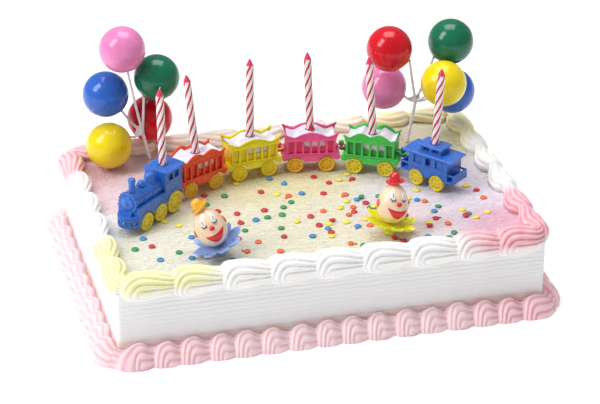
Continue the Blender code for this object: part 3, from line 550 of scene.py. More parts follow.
def cake_surface():
    """The iced block: a softly uneven top, walls with comb marks and rounded upright corners."""
    columns, rows, corner, edge = 207, 141, 3.5, 3.0
    half_x, half_y = CAKE_LENGTH / 2, CAKE_WIDTH / 2

    def rounded(u, v, inset):
        x, y = u * (half_x - inset), v * (half_y - inset)
        radius = corner - 0.4 * inset
        over_x = abs(x) - (half_x - inset - radius)
        over_y = abs(y) - (half_y - inset - radius)
        if over_x > 0 and over_y > 0:
            squeeze = max(over_x, over_y) / math.hypot(over_x, over_y)
            x = math.copysign(half_x - inset - radius + over_x * squeeze, x)
            y = math.copysign(half_y - inset - radius + over_y * squeeze, y)
        return x, y

    def relief(x, y):
        wide = noise.noise(Vector((x / 38, y / 38, 3.1)))
        brushed = noise.noise(Vector((x / 9, y / 3.2, 7.7)))
        grain = noise.noise(Vector((x / 2.6, y / 2.0, 1.9)))
        return 0.25 * wide + 0.22 * brushed + 0.22 * grain - 0.3

    points = []
    for j in range(rows):
        for i in range(columns):
            u, v = 2 * i / (columns - 1) - 1, 2 * j / (rows - 1) - 1
            x, y = rounded(u, v, edge)
            points.append((x, y, CAKE_HEIGHT + relief(x, y)))
    faces = grid_faces(rows, columns)
    rim = [(i, 0) for i in range(columns)] + [(columns - 1, j) for j in range(1, rows)]
    rim += [(i, rows - 1) for i in range(columns - 2, -1, -1)] + [(0, j) for j in range(rows - 2, 0, -1)]
    above = [j * columns + i for i, j in rim]
    count = len(rim)
    levels = [CAKE_HEIGHT - edge] + [CAKE_HEIGHT - edge - (CAKE_HEIGHT - edge) * k / 44 for k in range(1,
                                                                                                       45)]
    for level in levels:
        base = len(points)
        for i, j in rim:
            u, v = 2 * i / (columns - 1) - 1, 2 * j / (rows - 1) - 1
            x, y = rounded(u, v, 0.0)
            outward = Vector((x / half_x if abs(x) > half_x - 8 else 0,
                              y / half_y if abs(y) > half_y - 8 else 0))
            comb = noise.noise(Vector((x / 55, y / 55, level / 1.9)))
            sway = noise.noise(Vector((x / 60, y / 60, level / 40)))
            shift = 0.28 * comb + 0.4 * sway - 0.15
            points.append((x + outward.x * shift, y + outward.y * shift, level))
        below = list(range(base, base + count))
        for k in range(count):
            n = (k + 1) % count
            faces.append((above[k], below[k], below[n], above[n]))
        above = below
    faces.append(tuple(reversed(above)))
    return points, faces


def side_path(length, radius):
    """Stations along one side of a rounded rectangle, from the middle of one corner to the middle
    of the next: a function that gives along, outward and the outward direction's turn in radians."""
    quarter = math.pi * radius / 4
    straight = length - 2 * radius

    def at(run):
        if run < quarter:
            turn = (run - quarter) / radius
            return radius + radius * math.sin(turn), -radius + radius * math.cos(turn), turn
        if run > quarter + straight:
            turn = (run - quarter - straight) / radius
            return length - radius + radius * math.sin(turn), -radius + radius * math.cos(turn), turn
        return radius + run - quarter, 0.0, 0.0

    return at, 2 * quarter + straight


# Piped shells, in millimetres and degrees. The section has a centre (out, up), a range of angles in
# so many rows, and an envelope of its radius at each angle. A shell curls round its pole, which lies
# at pole along the run and pole_angle round the section, and reaches left, up and low from it, at
# the head and where the tail has grown thin. The square and sharp powers shape its outline, curl
# and rank its ridges: rank spaces them upwards from the pole. An arc of arm millimetres is a radian.
TOP_PIPING = {
    "centre": (-4.5, CAKE_HEIGHT - 1.5), "angles": (-74, 176), "rows": 62, "step": 0.7, "path_radius": 14.0,
    "envelope": ((-74, -62, -30, 0, 45, 90, 120, 150, 176),
                 (11.6, 11.4, 10.6, 10.4, 11.4, 12.2, 12.4, 12.8, 12.5)),
    "arm": 10.5, "pole": 16.5, "pole_angle": -14, "left": 16.5, "up": (38.0, 27.0), "low": (12.0, 8.0),
    "tail": 27.0, "slim": 0.2, "ridges": 4.2, "depth": 1.6, "sharp": 6.0, "square": 3.2, "curl": 2.3,
    "rank": ((0, 4, 8.2, 13, 18, 23, 28, 33, 38), (0, 0.235, 0.46, 0.7, 0.93, 1.17, 1.4, 1.64, 1.87)),
}
BASE_PIPING = {
    "centre": (-0.3, 0.0), "angles": (0, 97), "rows": 36, "step": 0.58, "path_radius": 10.0,
    "envelope": ((0, 45, 75, 90, 97), (17.2, 17.2, 17.2, 17.4, 17.6)), "arm": 15.0,
    "pole": 14.5, "pole_angle": 2, "left": 14.5, "up": (26.5, 22.5), "low": (5.0, 4.0), "tail": 9.5,
    "slim": 0.22, "ridges": 4.6, "depth": 1.15, "sharp": 6.0, "square": 2.5, "curl": 2.2,
    "rank": ((0, 4.6, 9.4, 14.2, 19.0, 23, 26), (0, 0.18, 0.36, 0.54, 0.73, 0.89, 1.0)),
}


def shell_height(spec, da, dt, envelope, size):
    """Radius of one shell over the section's centre and how deep in a groove each point lies."""
    share = np.clip(da / spec["tail"], 0, 1)
    ease = share * share * (3 - 2 * share)
    up = spec["up"][0] + (spec["up"][1] - spec["up"][0]) * ease
    low = spec["low"][0] + (spec["low"][1] - spec["low"][0]) * ease
    across = np.where(dt > 0, dt / up, -dt / low)
    rank = np.where(dt > 0, np.interp(np.maximum(dt, 0) * spec["up"][0] / up, *spec["rank"]), across)
    ahead = np.where(da < 0, -da / (spec["left"] * size), 0.0)
    q = (across ** spec["square"] + ahead ** spec["square"]) ** (1 / spec["square"])
    body = np.clip(1 - q ** spec["sharp"], 0, 1) ** 0.5
    curl = (rank ** spec["curl"] + ahead ** spec["curl"]) ** (1 / spec["curl"])
    slim = 1 - spec["slim"] * ease
    ridge = np.abs(np.sin(math.pi * spec["ridges"] * curl))
    groove = 1 - ridge ** 0.7
    near_pole = np.clip(q / 0.12, 0.35, 1)
    height = envelope * body * slim * (0.96 + 0.04 * size) - spec["depth"] * groove * near_pole
    height = np.where((q >= 1) | (da > spec["tail"] * 1.75), 0.0, height)
    return height, groove


def piped_border(spec, length, shells, seed):
    """One side's run of overlapping shells in (along, out, up), and how deep in a groove each point lies."""
    at, total = side_path(length, spec["path_radius"])
    columns = int(total / spec["step"]) + 1
    runs = np.linspace(0, total, columns)
    angles = np.radians(np.linspace(*spec["angles"], spec["rows"]))
    run, angle = np.meshgrid(runs, angles, indexing="ij")
    envelope = np.interp(np.degrees(angle), *spec["envelope"])
    pitch = total / shells
    chance = random.Random(seed)
    best = np.zeros_like(run)
    groove = np.zeros_like(run)
    for number in range(-1, shells + 1):
        wander = chance.uniform(-0.05, 0.05) * pitch if 0 < number < shells else 0.0
        size = 1 + chance.uniform(-0.07, 0.07)
        drop = math.radians(spec["pole_angle"] + chance.uniform(-5, 5))
        da = run - (number * pitch + spec["pole"] + wander)
        height, depth = shell_height(spec, da, (angle - drop) * spec["arm"], envelope, size)
        taller = height > best
        best = np.where(taller, height, best)
        groove = np.where(taller, depth, groove)
    centre_out, centre_up = spec["centre"]
    points, marks = [], []
    for i, station in enumerate(runs):
        along, outward, turn = at(station)
        for j, a in enumerate(angles):
            radius = best[i, j]
            radius += 0.22 * noise.noise(Vector((station / 7, a * 4, seed)))
            out = centre_out + radius * math.cos(a)
            points.append((along + out * math.sin(turn), outward + out * math.cos(turn),
                           max(0.0, centre_up + radius * math.sin(a))))
            marks.append(float(groove[i, j]))
        points.append((along + centre_out * math.sin(turn), outward + centre_out * math.cos(turn),
                       centre_up))
        marks.append(0.0)
    count = len(angles) + 1
    faces = grid_faces(columns, count, wrap_columns=True)
    faces.append(tuple(reversed(range(count))))
    faces.append(tuple(range(len(points) - count, len(points))))
    return points, faces, marks


SIDES = (
    ("front", (-1, -1), (1, 0), (0, -1), CAKE_LENGTH, 9, 16),
    ("right", (1, -1), (0, 1), (1, 0), CAKE_WIDTH, 6, 11),
    ("back", (1, 1), (-1, 0), (0, 1), CAKE_LENGTH, 9, 16),
    ("left", (-1, 1), (0, -1), (-1, 0), CAKE_WIDTH, 6, 11),
)


def add_cake():
    piece("cake_icing", Shape().add(cake_surface()), [LOOKS["icing"]], ["cake"], smooth=180)
    for number, (name, corner, along, outward, length, top_shells, base_shells) in enumerate(SIDES):
        place = Matrix(((along[0], outward[0], 0, corner[0] * CAKE_LENGTH / 2),
                        (along[1], outward[1], 0, corner[1] * CAKE_WIDTH / 2), (0, 0, 1, 0), (0, 0, 0, 1)))
        for level, spec, shells in (("top", TOP_PIPING, top_shells), ("base", BASE_PIPING, base_shells)):
            points, faces, marks = piped_border(spec, length, shells,
                                                11 * number + (3 if level == "top" else 5))
            run = Shape().add((points, faces), matrix=place, marks=marks)
            node = f"{'top' if level == 'top' else 'bottom'}_border_{name}"
            piece(f"{node}_shells", run, [LOOKS[f"{level}_piping"]], [node], smooth=180)


# ---------------------------------------------------------------- candles

CANDLE_RADIUS, CANDLE_SHOULDER, CANDLE_HEIGHT = 3.15, 60.0, 66.5


def candle_shape():
    """A twisted candle with fine spiral flutes, a cone tip and a curved wick."""
    sides, flutes = 60, 12
    levels = [0.0, 0.3] + [0.3 + (CANDLE_SHOULDER - 0.3) * k / 70 for k in range(1, 71)]
    rings = []
    for level in levels:
        swell = 0.93 if level == 0 else 1.0
        rings.append([(swell * r * math.cos(a), swell * r * math.sin(a), level) for a, r in (
            (t,
             CANDLE_RADIUS - 0.2 * (1 - abs(math.sin(flutes / 2 * (t - 2 * math.pi * level / CANDLE_LEAD)))))
            for t in (2 * math.pi * k / sides for k in range(sides)))])
    for radius, level in ((2.75, 60.3), (2.3, 61.5), (1.75, 62.9), (1.1, 64.4), (0.5, 65.5)):
        rings.append([(radius * math.cos(t), radius * math.sin(t), level)
                      for t in (2 * math.pi * k / sides for k in range(sides))])
    shape = Shape().add(loft(rings))
    wick = smooth_curve([(0, 0, 64.8), (0.1, 0, 65.6), (0.5, 0, 66.3), (1.1, 0, 66.6)], 4)
    return shape.add(tube(wick, 0.32, 8), 1)


def add_candle(number, foot, lean):
    axis = Vector((lean[0], lean[1], CANDLE_HEIGHT))
    turn = Vector((0, 0, 1)).rotation_difference(axis).to_matrix().to_4x4()
    spin = turned(47.0 * number, "Z")
    place = Matrix.Translation(foot) @ turn @ spin
    node = f"candle_{number}"
    piece(f"{node}_twisted", candle_shape(), [LOOKS["candle"], LOOKS["wick"]], [node], place,
          smooth=60)
    return place


# ---------------------------------------------------------------- train parts

TRACK_HALF, WHEEL_THICKNESS, AXLE_RADIUS = 10.3, 2.6, 1.2
COUPLING_HEIGHT = 18.0


def wheel_disc(radius, outer, inner, holes=8):
    """A wheel's disc across y with a raised rim, a boss and a ring of oval hollows between spokes."""
    sides, sign = 64, math.copysign(1.0, outer)
    shares = (0.0, 0.13, 0.2, 0.27, 0.35, 0.43, 0.51, 0.59, 0.66, 0.72, 0.78, 0.84, 0.93, 0.98)
    points, faces, numbers = [], [], []
    for share in shares:
        for k in range(sides):
            t = 2 * math.pi * k / sides
            swing = abs(((holes * t / (2 * math.pi)) % 1.0) - 0.5) * 2
            hollow = max(0.0, 1 - ((share - 0.58) / 0.14) ** 2 - (swing / 0.52) ** 2)
            face = -0.55
            if share < 0.22:
                face = 0.0 - 2.2 * share
            elif share > 0.76:
                face = -0.55 + 0.55 * min(1.0, (share - 0.76) / 0.07)
            if share > 0.95:
                face = -0.3
            depth = face - 0.5 * math.sqrt(hollow)
            points.append((share * radius * math.cos(t), outer + sign * depth,
                           share * radius * math.sin(t)))
    rows = len(shares)
    for j, share in enumerate(shares[:-1]):
        middle = (share + shares[j + 1]) / 2
        for k in range(sides):
            n = (k + 1) % sides
            t = 2 * math.pi * (k + 0.5) / sides
            swing = abs(((holes * t / (2 * math.pi)) % 1.0) - 0.5) * 2
            faces.append((j * sides + k, j * sides + n, (j + 1) * sides + n, (j + 1) * sides + k))
            # faces inside the oval hollows take the second, darker look: painted shade
            numbers.append(1 if ((middle - 0.58) / 0.14) ** 2 + (swing / 0.52) ** 2 < 0.8 else 0)
    back = [(radius, outer - 0.5 * sign), (radius, inner + 0.4 * sign), (0.95 * radius, inner),
            (AXLE_RADIUS, inner)]
    for size, level in back:
        for k in range(sides):
            t = 2 * math.pi * k / sides
            points.append((size * math.cos(t), level, size * math.sin(t)))
    for j in range(rows - 1, rows + len(back) - 1):
        for k in range(sides):
            n = (k + 1) % sides
            faces.append((j * sides + k, j * sides + n, (j + 1) * sides + n, (j + 1) * sides + k))
            numbers.append(0)
    last = (rows + len(back) - 1) * sides
    faces.append(tuple(range(last, last + sides)))
    numbers.append(0)
    return points, faces, numbers


def wheelset_shape(radius, spin):
    shape = Shape()
    for sign in (-1, 1):
        points, faces, numbers = wheel_disc(radius, sign * TRACK_HALF,
                                            sign * (TRACK_HALF - WHEEL_THICKNESS))
        shape.add((points, faces), matrix=turned(spin, "Y"))
        shape.numbers[-len(faces):] = numbers
    reach = TRACK_HALF - WHEEL_THICKNESS + 0.4
    return shape.add(tube([(0, -reach, 0), (0, 0, 0), (0, reach, 0)], AXLE_RADIUS, 16))


def wheel_arch(axle, radius, floor, steps=16):
    reach = radius + 0.9
    foot = math.degrees(math.asin((floor - radius) / reach))
    return arc((axle, radius), reach, foot, 180 - foot, steps)


def fender(axle, radius, floor, face, rise=0.55, width=1.0):
    """A raised rim round a wheel arch, standing proud of a side face."""
    reach = radius + 0.9
    foot = math.degrees(math.asin(max(-0.9, (floor - radius) / reach))) + 2
    outline = arc((axle, radius), reach + width, foot, 180 - foot, 20)
    outline += list(reversed(arc((axle, radius), reach, foot, 180 - foot, 20)))
    side = math.copysign(1.0, face)
    return prism(outline, face - side * 0.6, face + side * rise)


def flat_arm(start, target, height, shorten, thickness=1.6):
    """A flat tongue in the xy plane from start to target."""
    start, end = Vector((*start, 0)), Vector((*target, 0))
    run = end - start
    turn = Matrix.Rotation(math.atan2(run.y, run.x), 4, "Z")
    arm = box((-1.5, -1.3, -thickness / 2), (run.length + shorten, 1.3, thickness / 2))
    return moved(arm, Matrix.Translation(start + Vector((0, 0, height))) @ turn)


def add_coupling_ring(shape, start_x, target):
    shape.add(flat_arm((start_x, 0), target, COUPLING_HEIGHT, -3.0))
    ring = ring_path((*target, COUPLING_HEIGHT), 3.15, steps=28)
    shape.add(tube(ring, 0.72, 10, closed=True))


def add_coupling_peg(shape, start_x, target):
    height = COUPLING_HEIGHT - 2.4
    shape.add(flat_arm((start_x, 0), target, height, 1.4))
    shape.add(tube([(*target, height - 0.6), (*target, height + 2.5), (*target, height + 5)], 1.4, 14))
    shape.add(ball((*target, height + 5.2), (2.1, 2.1, 2.1), 20, 12))


# ---------------------------------------------------------------- wagons

WAGON_AXLE, WHEEL_RADIUS = 12.5, 6.5
WAGON_HALF_LENGTH, WAGON_HALF_WIDTH = 19.4, 10.5
WAGON_FLOOR, WAGON_EAVES = 15.9, 27.4
SINGLE_TOP = ((0.0, 34.3), (7.0, 32.9), (12.8, 30.4), (16.7, 31.4), (21.9, 33.7))
DOUBLE_TOP = ((0.0, 33.0), (3.9, 34.55), (8.15, 35.4), (12.8, 33.2), (16.5, 31.0), (21.3, 32.8))


def mirrored(half):
    return [(-x, z) for x, z in reversed(half) if x > 0] + list(half)


def wagon_top(half):
    points = mirrored(half)
    return [(x, z) for x, z, _ in smooth_curve([(x, z, 0) for x, z in points], 7)]


def wagon_shape(half_top, ring_at, peg_at):
    """A wagon's body: wavy parapets on barred walls, curtained windows, a beam with round ends."""
    shape = Shape()
    top = wagon_top(half_top)
    width, half = WAGON_HALF_WIDTH, WAGON_HALF_LENGTH
    wall = [(half, WAGON_EAVES - 0.2)] + list(reversed(top)) + [(-half, WAGON_EAVES - 0.2)]
    pitch = (2 * half - 1.7) / 6
    for side in (-1, 1):
        inner, outer = sorted((side * (width - 1.6), side * width))
        shape.add(prism(wall, inner, outer))
        shape.add(tube([(x, side * (width - 0.55), z - 0.45) for x, z in top], 0.8, 10))
        shape.add(tube([(x, side * (width + 0.1), WAGON_EAVES + 0.55) for x in np.linspace(-half - 0.7,
                                                                                           half + 0.7, 9)],
                       0.62, 10))
        inset = [(0.82 * x, WAGON_EAVES + 1.6 + 0.42 * (z - WAGON_EAVES)) for x, z in top[5:-5]]
        shape.add(tube([(x, side * (width + 0.02), z) for x, z in inset], 0.28, 6))
        shape.add(box((-half, inner, WAGON_FLOOR - 1.6), (half, outer, WAGON_FLOOR + 0.3)))
        shape.add(tube([(x, side * (width - 0.1), WAGON_FLOOR + 0.25) for x in np.linspace(-half, half, 9)],
                       0.55, 8))
        for bar in range(7):
            left = -half + bar * pitch
            shape.add(box((left, inner + 0.1, WAGON_FLOOR), (left + 1.7, outer - 0.1, WAGON_EAVES + 0.2)))
        panel_in, panel_out = sorted((side * (width - 2.3), side * (width - 1.7)))
        # the panels behind the bars take the darker look: painted shade
        shape.add(prism(curtains(pitch, half), panel_in, panel_out), 1)
    for end in (-1, 1):
        low, high = sorted((end * (half - 1.6), end * half))
        shape.add(box((low, -width + 0.4, WAGON_FLOOR - 1), (high, width - 0.4, WAGON_EAVES + 0.1)))
        # a panel on each end in the darker look: painted shade
        shape.add(box((low + end * 0.3, -3.2, WAGON_FLOOR + 1.6),
                      (high + end * 0.3, 3.2, WAGON_EAVES - 1.6)), 1)
        knob = (end * 20.5, 13.2)
        shape.add(prism(arc(knob, 2.75, 0, 345, 23), -width - 0.25, width + 0.25))
        shape.add(prism(arc(knob, 1.1, 0, 345, 15), -width - 0.7, width + 0.7))
    base = [(5.6, 9.4)] + list(reversed(wheel_arch(WAGON_AXLE, WHEEL_RADIUS, 10.8))) + [(20.4, 11.2),
                                                                                        (20.4, 15.8)]
    base = base + [(-x, z) for x, z in reversed(base)]
    shape.add(prism(base, -width + 0.05, width - 0.05))
    for side in (-1, 1):
        for axle in (-WAGON_AXLE, WAGON_AXLE):
            shape.add(fender(axle, WHEEL_RADIUS, 10.8, side * (width - 0.05), 0.3, 0.8))
    add_coupling_ring(shape, half, ring_at)
    add_coupling_peg(shape, -half, peg_at)
    return shape


def curtains(pitch, half):
    """Panels behind the bars, in the darker look as painted shade: full height at the ends, parted curtains
    over a low board in the middle.
    """
    low, high, sill = WAGON_FLOOR, WAGON_EAVES + 0.1, WAGON_FLOOR + 5.2
    left, right = -half + 2 * pitch + 0.9, -half + 5 * pitch + 0.9
    notch = [(left, high), (left + 0.5, high - 3.5), (left + 1.6, sill + 0.6)]
    for k in range(3):
        start = left + k * pitch
        notch += [(start + 2.2, sill), (start + 3.0, sill + 0.9), (start + 3.9, sill)]
    notch += [(right - 1.4, sill + 0.7), (right - 0.6, high - 4.0), (right - 1.6, high - 1.6),
              (right - 2.4, high)]
    return [(-half + 0.3, low), (-half + 0.3, high)] + notch + [(half - 0.3, high), (half - 0.3, low)]


def wagon_roof_shape(half_top):
    """The white tray between the parapets: it follows their waves and has a flat seat for the candle."""
    drop, thickness, seat = 1.5, 1.2, 4.6
    top = [(x, z) for x, z in wagon_top(half_top) if abs(x) <= WAGON_HALF_LENGTH]
    crown = half_top[0][1]
    blend = [(x, (crown if abs(x) < seat else crown + (z - crown) * min(1.0, (abs(x) - seat) / 3.0))) for x,
             z in top]
    upper = [(x, z - drop) for x, z in blend]
    lower = [(x, z - thickness) for x, z in reversed(upper)]
    reach = WAGON_HALF_WIDTH - 1.6 - GAP
    shape = Shape().add(prism(upper + lower, -reach, reach))
    level = crown - drop
    shape.add(tube(ring_path((0, 0, level + 0.1), 4.3, steps=36), 0.5, 8, closed=True))
    shape.add(lathe([(0, level - 0.6), (4.2, level - 0.6), (4.2, level + 0.06), (0, level + 0.06)], 32), 1)
    shape.add(lathe([(0, 22), (4.4, 22), (4.4, level - 0.3), (0, level - 0.3)], 28))
    shape.add(box((-17.2, -7.9, WAGON_FLOOR + 0.4), (17.2, 7.9, WAGON_EAVES + 1.2)))
    for x in (-8.6, 8.6):
        shape.add(ball((x, -2.0, level - 1.4), (1.3, 0.5, 0.3), 12, 8))
    return shape


# ---------------------------------------------------------------- locomotive

def locomotive_shape(ring_at):
    shape = Shape()
    half, deck, sill = 9.8, 21.5, 11.5
    rear_wheel, wheel = 8.9, 7.1
    outline = wheel_arch(0.0, rear_wheel, 12.0)
    outline = outline[:-1] + [(-9.6, 12.6), (-9.6, deck), (45.8, deck), (45.8, sill)]
    outline += wheel_arch(35.4, wheel, sill) + wheel_arch(17.7, wheel, sill)
    shape.add(prism(outline, -half, half))
    for side in (-1, 1):
        shape.add(fender(0.0, rear_wheel, 12.6, side * half, 0.5, 1.2))
        for axle in (17.7, 35.4):
            shape.add(fender(axle, wheel, sill + 0.4, side * half, 0.4, 0.9))
        low, high = sorted((side * (half - 0.6), side * (half + 0.45)))
        shape.add(box((11.8, low, deck - 0.9), (45.9, high, deck + 0.25)))
        shape.add(box((12.2, low + 0.1, sill + 4.2), (13.4, high - 0.1, deck)))
    add_cab(shape, half, deck)
    add_boiler(shape)
    add_pilot(shape)
    add_coupling_ring(shape, -9.6, ring_at)
    return shape


def add_cab(shape, half, deck):
    """The cab: walls with two open windows a side under an arched roof with a candle socket."""
    left, right, eaves = -9.5, 11.8, 36.7
    for side in (-1, 1):
        low, high = sorted((side * (half - 1.5), side * (half - 0.02)))
        shape.add(box((left, low, deck - 1), (right, high, 29.3)))
        shape.add(box((left, low, 34.6), (right, high, eaves)))
        for x0, x1 in ((left, -5.45), (-0.0, 1.9), (7.35, right)):
            shape.add(box((x0, low, 29.2), (x1, high, 34.7)))
        shape.add(box((left - 0.02, low + side * 0.25, 27.9), (right, high + side * 0.2, 28.5)))
    shape.add(box((right - 1.5, -half + 0.1, deck - 1), (right + 0.05, half - 0.1, eaves)))
    shape.add(box((left - 0.05, -half + 0.1, deck - 1), (left + 1.5, half - 0.1, eaves)))
    # a darker box inside the cab, in the second look: painted shade seen through the windows
    shape.add(box((left + 1, -half + 1.7, deck + 0.5), (right - 1, half - 1.7, eaves - 1.2)), 1)
    edge = [(-11.1, 36.5)] + [(11.1, 36.5)] + [(11.3 * math.cos(t), 37.6 + 1.25 * math.sin(t))
                                               for t in np.linspace(0, math.pi, 15)]
    shape.add(prism(edge, -11.5, 12.7, axis="x"))
    add_socket(shape, (1.5, 0, 38.75))


def add_socket(shape, centre):
    """A round well with a thin lip where a candle stands in a roof; the well is in the darker look as
    painted shade.
    """
    x, y, z = centre
    shape.add(tube(ring_path((x, y, z + 0.02), 4.25, steps=40), 0.3, 8, closed=True))
    well = lathe([(0, z - 1.2), (4.1, z - 1.2), (4.1, z + 0.14), (0, z + 0.14)], 36)
    shape.add(moved(well, shifted(x, y, 0)), 1)


def add_boiler(shape):
    """The boiler with its bands, its smokebox door, and its stack, bell and dome."""
    lie = shifted(0, 0, 24.8) @ turned(90, "Y")
    profile = [(0, 10), (7.2, 10)]
    for start in (22.4, 33.4):
        profile += [(7.2, start), (7.75, start + 0.25), (7.85, start + 1.0), (7.75, start + 1.75),
                    (7.2, start + 2.0)]
    profile += [(7.2, 44.4), (8.1, 44.7), (8.3, 45.4), (8.3, 46.6), (7.9, 47.2), (7.0, 47.3), (6.8, 47.0),
                (5.9, 47.0),
                (5.7, 47.6), (5.2, 48.0), (0, 48.2)]
    shape.add(lathe(profile, 56), matrix=lie)
    for k in range(18):
        t = 2 * math.pi * k / 18
        shape.add(ball((46.3, 8.25 * math.cos(t), 24.8 + 8.25 * math.sin(t)), (1.2, 0.8, 0.8), 10, 8))
        shape.add(ball((47.3, 6.45 * math.cos(t + 0.17), 24.8 + 6.45 * math.sin(t + 0.17)),
                       (0.35, 0.35, 0.35), 8, 6))
    for k in range(5):
        t = 2 * math.pi * k / 5 + math.pi / 2
        point = [(2.5 * math.cos(t), 2.5 * math.sin(t)),
                 (0.95 * math.cos(t + 0.63), 0.95 * math.sin(t + 0.63)),
                 (0, 0), (0.95 * math.cos(t - 0.63), 0.95 * math.sin(t - 0.63))]
        shape.add(prism([(y, z + 24.8) for y, z in point], 48.0, 48.75, axis="x"))
    shape.add(ball((48.6, 0, 24.8), (0.7, 0.9, 0.9), 14, 8))
    stack = [(0, 29), (3.5, 29), (3.3, 31.6), (2.7, 32.8), (2.55, 34.5), (2.6, 38.0), (2.95, 40.4),
             (3.0, 41.6),
             (2.5, 42.6), (1.4, 43.2), (0, 43.3)]
    shape.add(lathe(stack, 32), matrix=shifted(41, 0, 0))
    dome = [(0, 29), (4.6, 29), (4.5, 31.8), (4.15, 33.0), (4.25, 35.2), (3.9, 37.0), (2.9, 38.5),
            (1.5, 39.1), (0, 39.3)]
    shape.add(lathe(dome, 32), matrix=shifted(19.2, 0, 0))
    bell = [(0, 29), (2.9, 29), (2.6, 31.6), (3.1, 32.4), (3.3, 33.6), (2.9, 35.0), (1.9, 36.3), (0, 37.1)]
    shape.add(lathe(bell, 28), matrix=shifted(29.4, 0, 0))
    for k in range(8):
        t = 2 * math.pi * k / 8
        shape.add(ball((29.4 + 3.0 * math.cos(t), 3.0 * math.sin(t), 33.2), (0.75, 0.75, 1.5), 10, 8))
    for side in (-1, 1):
        shape.add(tube(smooth_curve([(13, side * 6.6, 29.3), (26, side * 6.7, 29.3),
                                     (44, side * 6.7, 29.3)], 4), 0.32, 8))


def add_pilot(shape):
    """The rounded pilot: rails above and below a row of upright slots that go right through."""
    centre_x, depth, half = 43.6, 10.4, 9.7

    def plan(angle, shrink=0.0):
        t = math.radians(angle)
        return centre_x + (depth - shrink) * math.cos(t), (half - shrink) * math.sin(t)

    def band(first, last, low, high, steps):
        angles = np.linspace(first, last, steps)
        outline = [plan(a) for a in angles] + [plan(a, 1.5) for a in reversed(angles)]
        return prism(outline, low, high, axis="z")

    shape.add(band(-88, 88, 11.8, 14.9, 33))
    shape.add(band(-88, 88, 6.5, 9.0, 33))
    slots = 7
    for k in range(slots + 1):
        middle = -80 + 160 * k / slots
        shape.add(band(middle - 6.4, middle + 6.4, 8.8, 12.0, 4))
    cap = [plan(a) for a in np.linspace(-90, 90, 33)]
    shape.add(prism(cap + [(42.4, half), (42.4, -half)], 13.6, 14.9, axis="z"))
    shape.add(box((41.0, -half + 0.2, 6.9), (44.2, half - 0.2, 15.4)))
    shape.add(box((44.0, -4.2, 14.6), (48.4, 4.2, 17.6)))


# ---------------------------------------------------------------- caboose

def caboose_shape(peg_at):
    shape = Shape()
    half, deck, eaves, sill = 9.8, 11.2, 27.4, 9.6
    outline = [(-16.8, deck + 5), (-16.8, deck), (-24.0, deck), (-24.0, sill)]
    outline += list(reversed(wheel_arch(-9.5, WHEEL_RADIUS,
                                        sill))) + list(reversed(wheel_arch(9.5, WHEEL_RADIUS, sill)))
    outline += [(25.0, sill), (25.0, deck), (19.4, deck), (19.4, deck + 5)]
    shape.add(prism(outline, -half, half))
    for side in (-1, 1):
        low, high = sorted((side * (half - 1.6), side * (half - 0.02)))
        shape.add(box((-16.8, low, deck + 3), (19.4, high, 19.5)))
        shape.add(box((-16.8, low, 25.9), (19.4, high, eaves)))
        for x0, x1 in ((-16.8, -11.9), (-5.3, -1.15), (4.15, 8.3), (14.9, 19.4)):
            shape.add(box((x0, low, 19.3), (x1, high, 26.1)))
        deep_low, deep_high = sorted((side * (half - 2.2), side * (half - 1.1)))
        for x in (-8.6, 11.6):
            shape.add(box((x - 3.5, deep_low, 19.0), (x + 3.5, deep_high, 26.4)))
            frame_path = [(x - 3.5, 19.3), (x + 3.5, 19.3), (x + 3.5, 26.2), (x - 3.5, 26.2)]
            shape.add(tube([(a, side * half, b) for a, b in frame_path], 0.35, 6, closed=True))
        arch_path = [(-1.15, 19.3), (-1.15, 23.6)] + arc((1.5, 23.6), 2.65, 180, 0, 8) + [(4.15, 19.3)]
        shape.add(tube([(a, side * half, b) for a, b in arch_path], 0.35, 6, closed=True))
        shape.add(box((-17.0, low + side * 0.2, 18.2), (19.6, high + side * 0.25, 18.9)))
        for axle in (-9.5, 9.5):
            shape.add(fender(axle, WHEEL_RADIUS, sill + 0.3, side * half, 0.55, 1.1))
    shape.add(box((-16.8, -half + 0.1, deck), (-15.2, half - 0.1, eaves)))
    shape.add(box((17.8, -half + 0.1, deck), (19.4, half - 0.1, eaves)))
    # a darker box inside the body, in the second look: painted shade seen through the windows
    shape.add(box((-15.5, -half + 2.4, 17.5), (18.0, half - 2.4, eaves)), 1)
    for x in (-24.6, 24.4):
        shape.add(box((x, -9.2, sill + 0.1), (x + 1.2, 9.2, 16.9)))
        for side in (-1, 1):
            inner = -16.8 if x < 0 else 19.4
            shape.add(box((min(x, inner), side * 8.6 - 0.6, 15.7),
                          (max(x, inner) + 0.4, side * 8.6 + 0.6, 16.9)))
    add_arched_roof(shape, -21.4, 23.2, 11.2, 27.1, 28.3, 1.1)
    for side in (-1, 1):
        low, high = sorted((side * 5.0, side * 6.2))
        shape.add(box((-8.2, low, 28), (10.8, high, 29.9)))
        shape.add(box((-8.2, low, 33.1), (10.8, high, 34.3)))
        for x0, x1 in ((-8.2, -5.7), (-0.3, 2.9), (8.3, 10.8)):
            shape.add(box((x0, low, 29.8), (x1, high, 33.3)))
    shape.add(box((-8.3, -6.1, 28), (-7.0, 6.1, 34.3)))
    shape.add(box((9.6, -6.1, 28), (10.9, 6.1, 34.3)))
    # a darker box inside the cupola, in the second look: painted shade seen through its windows
    shape.add(box((-7.4, -4.7, 28), (10.0, 4.7, 34.0)), 1)
    add_arched_roof(shape, -10.0, 12.4, 7.8, 33.8, 34.7, 0.75)
    add_socket(shape, (1.3, 0, 35.42))
    add_coupling_peg(shape, -16.8, peg_at)
    return shape


def add_arched_roof(shape, start, end, half, low, edge, rise):
    outline = [(-half, low), (half, low)] + [(half * math.cos(t), edge + rise * math.sin(t))
                                             for t in np.linspace(0, math.pi, 15)]
    shape.add(prism(outline, start, end, axis="x"))


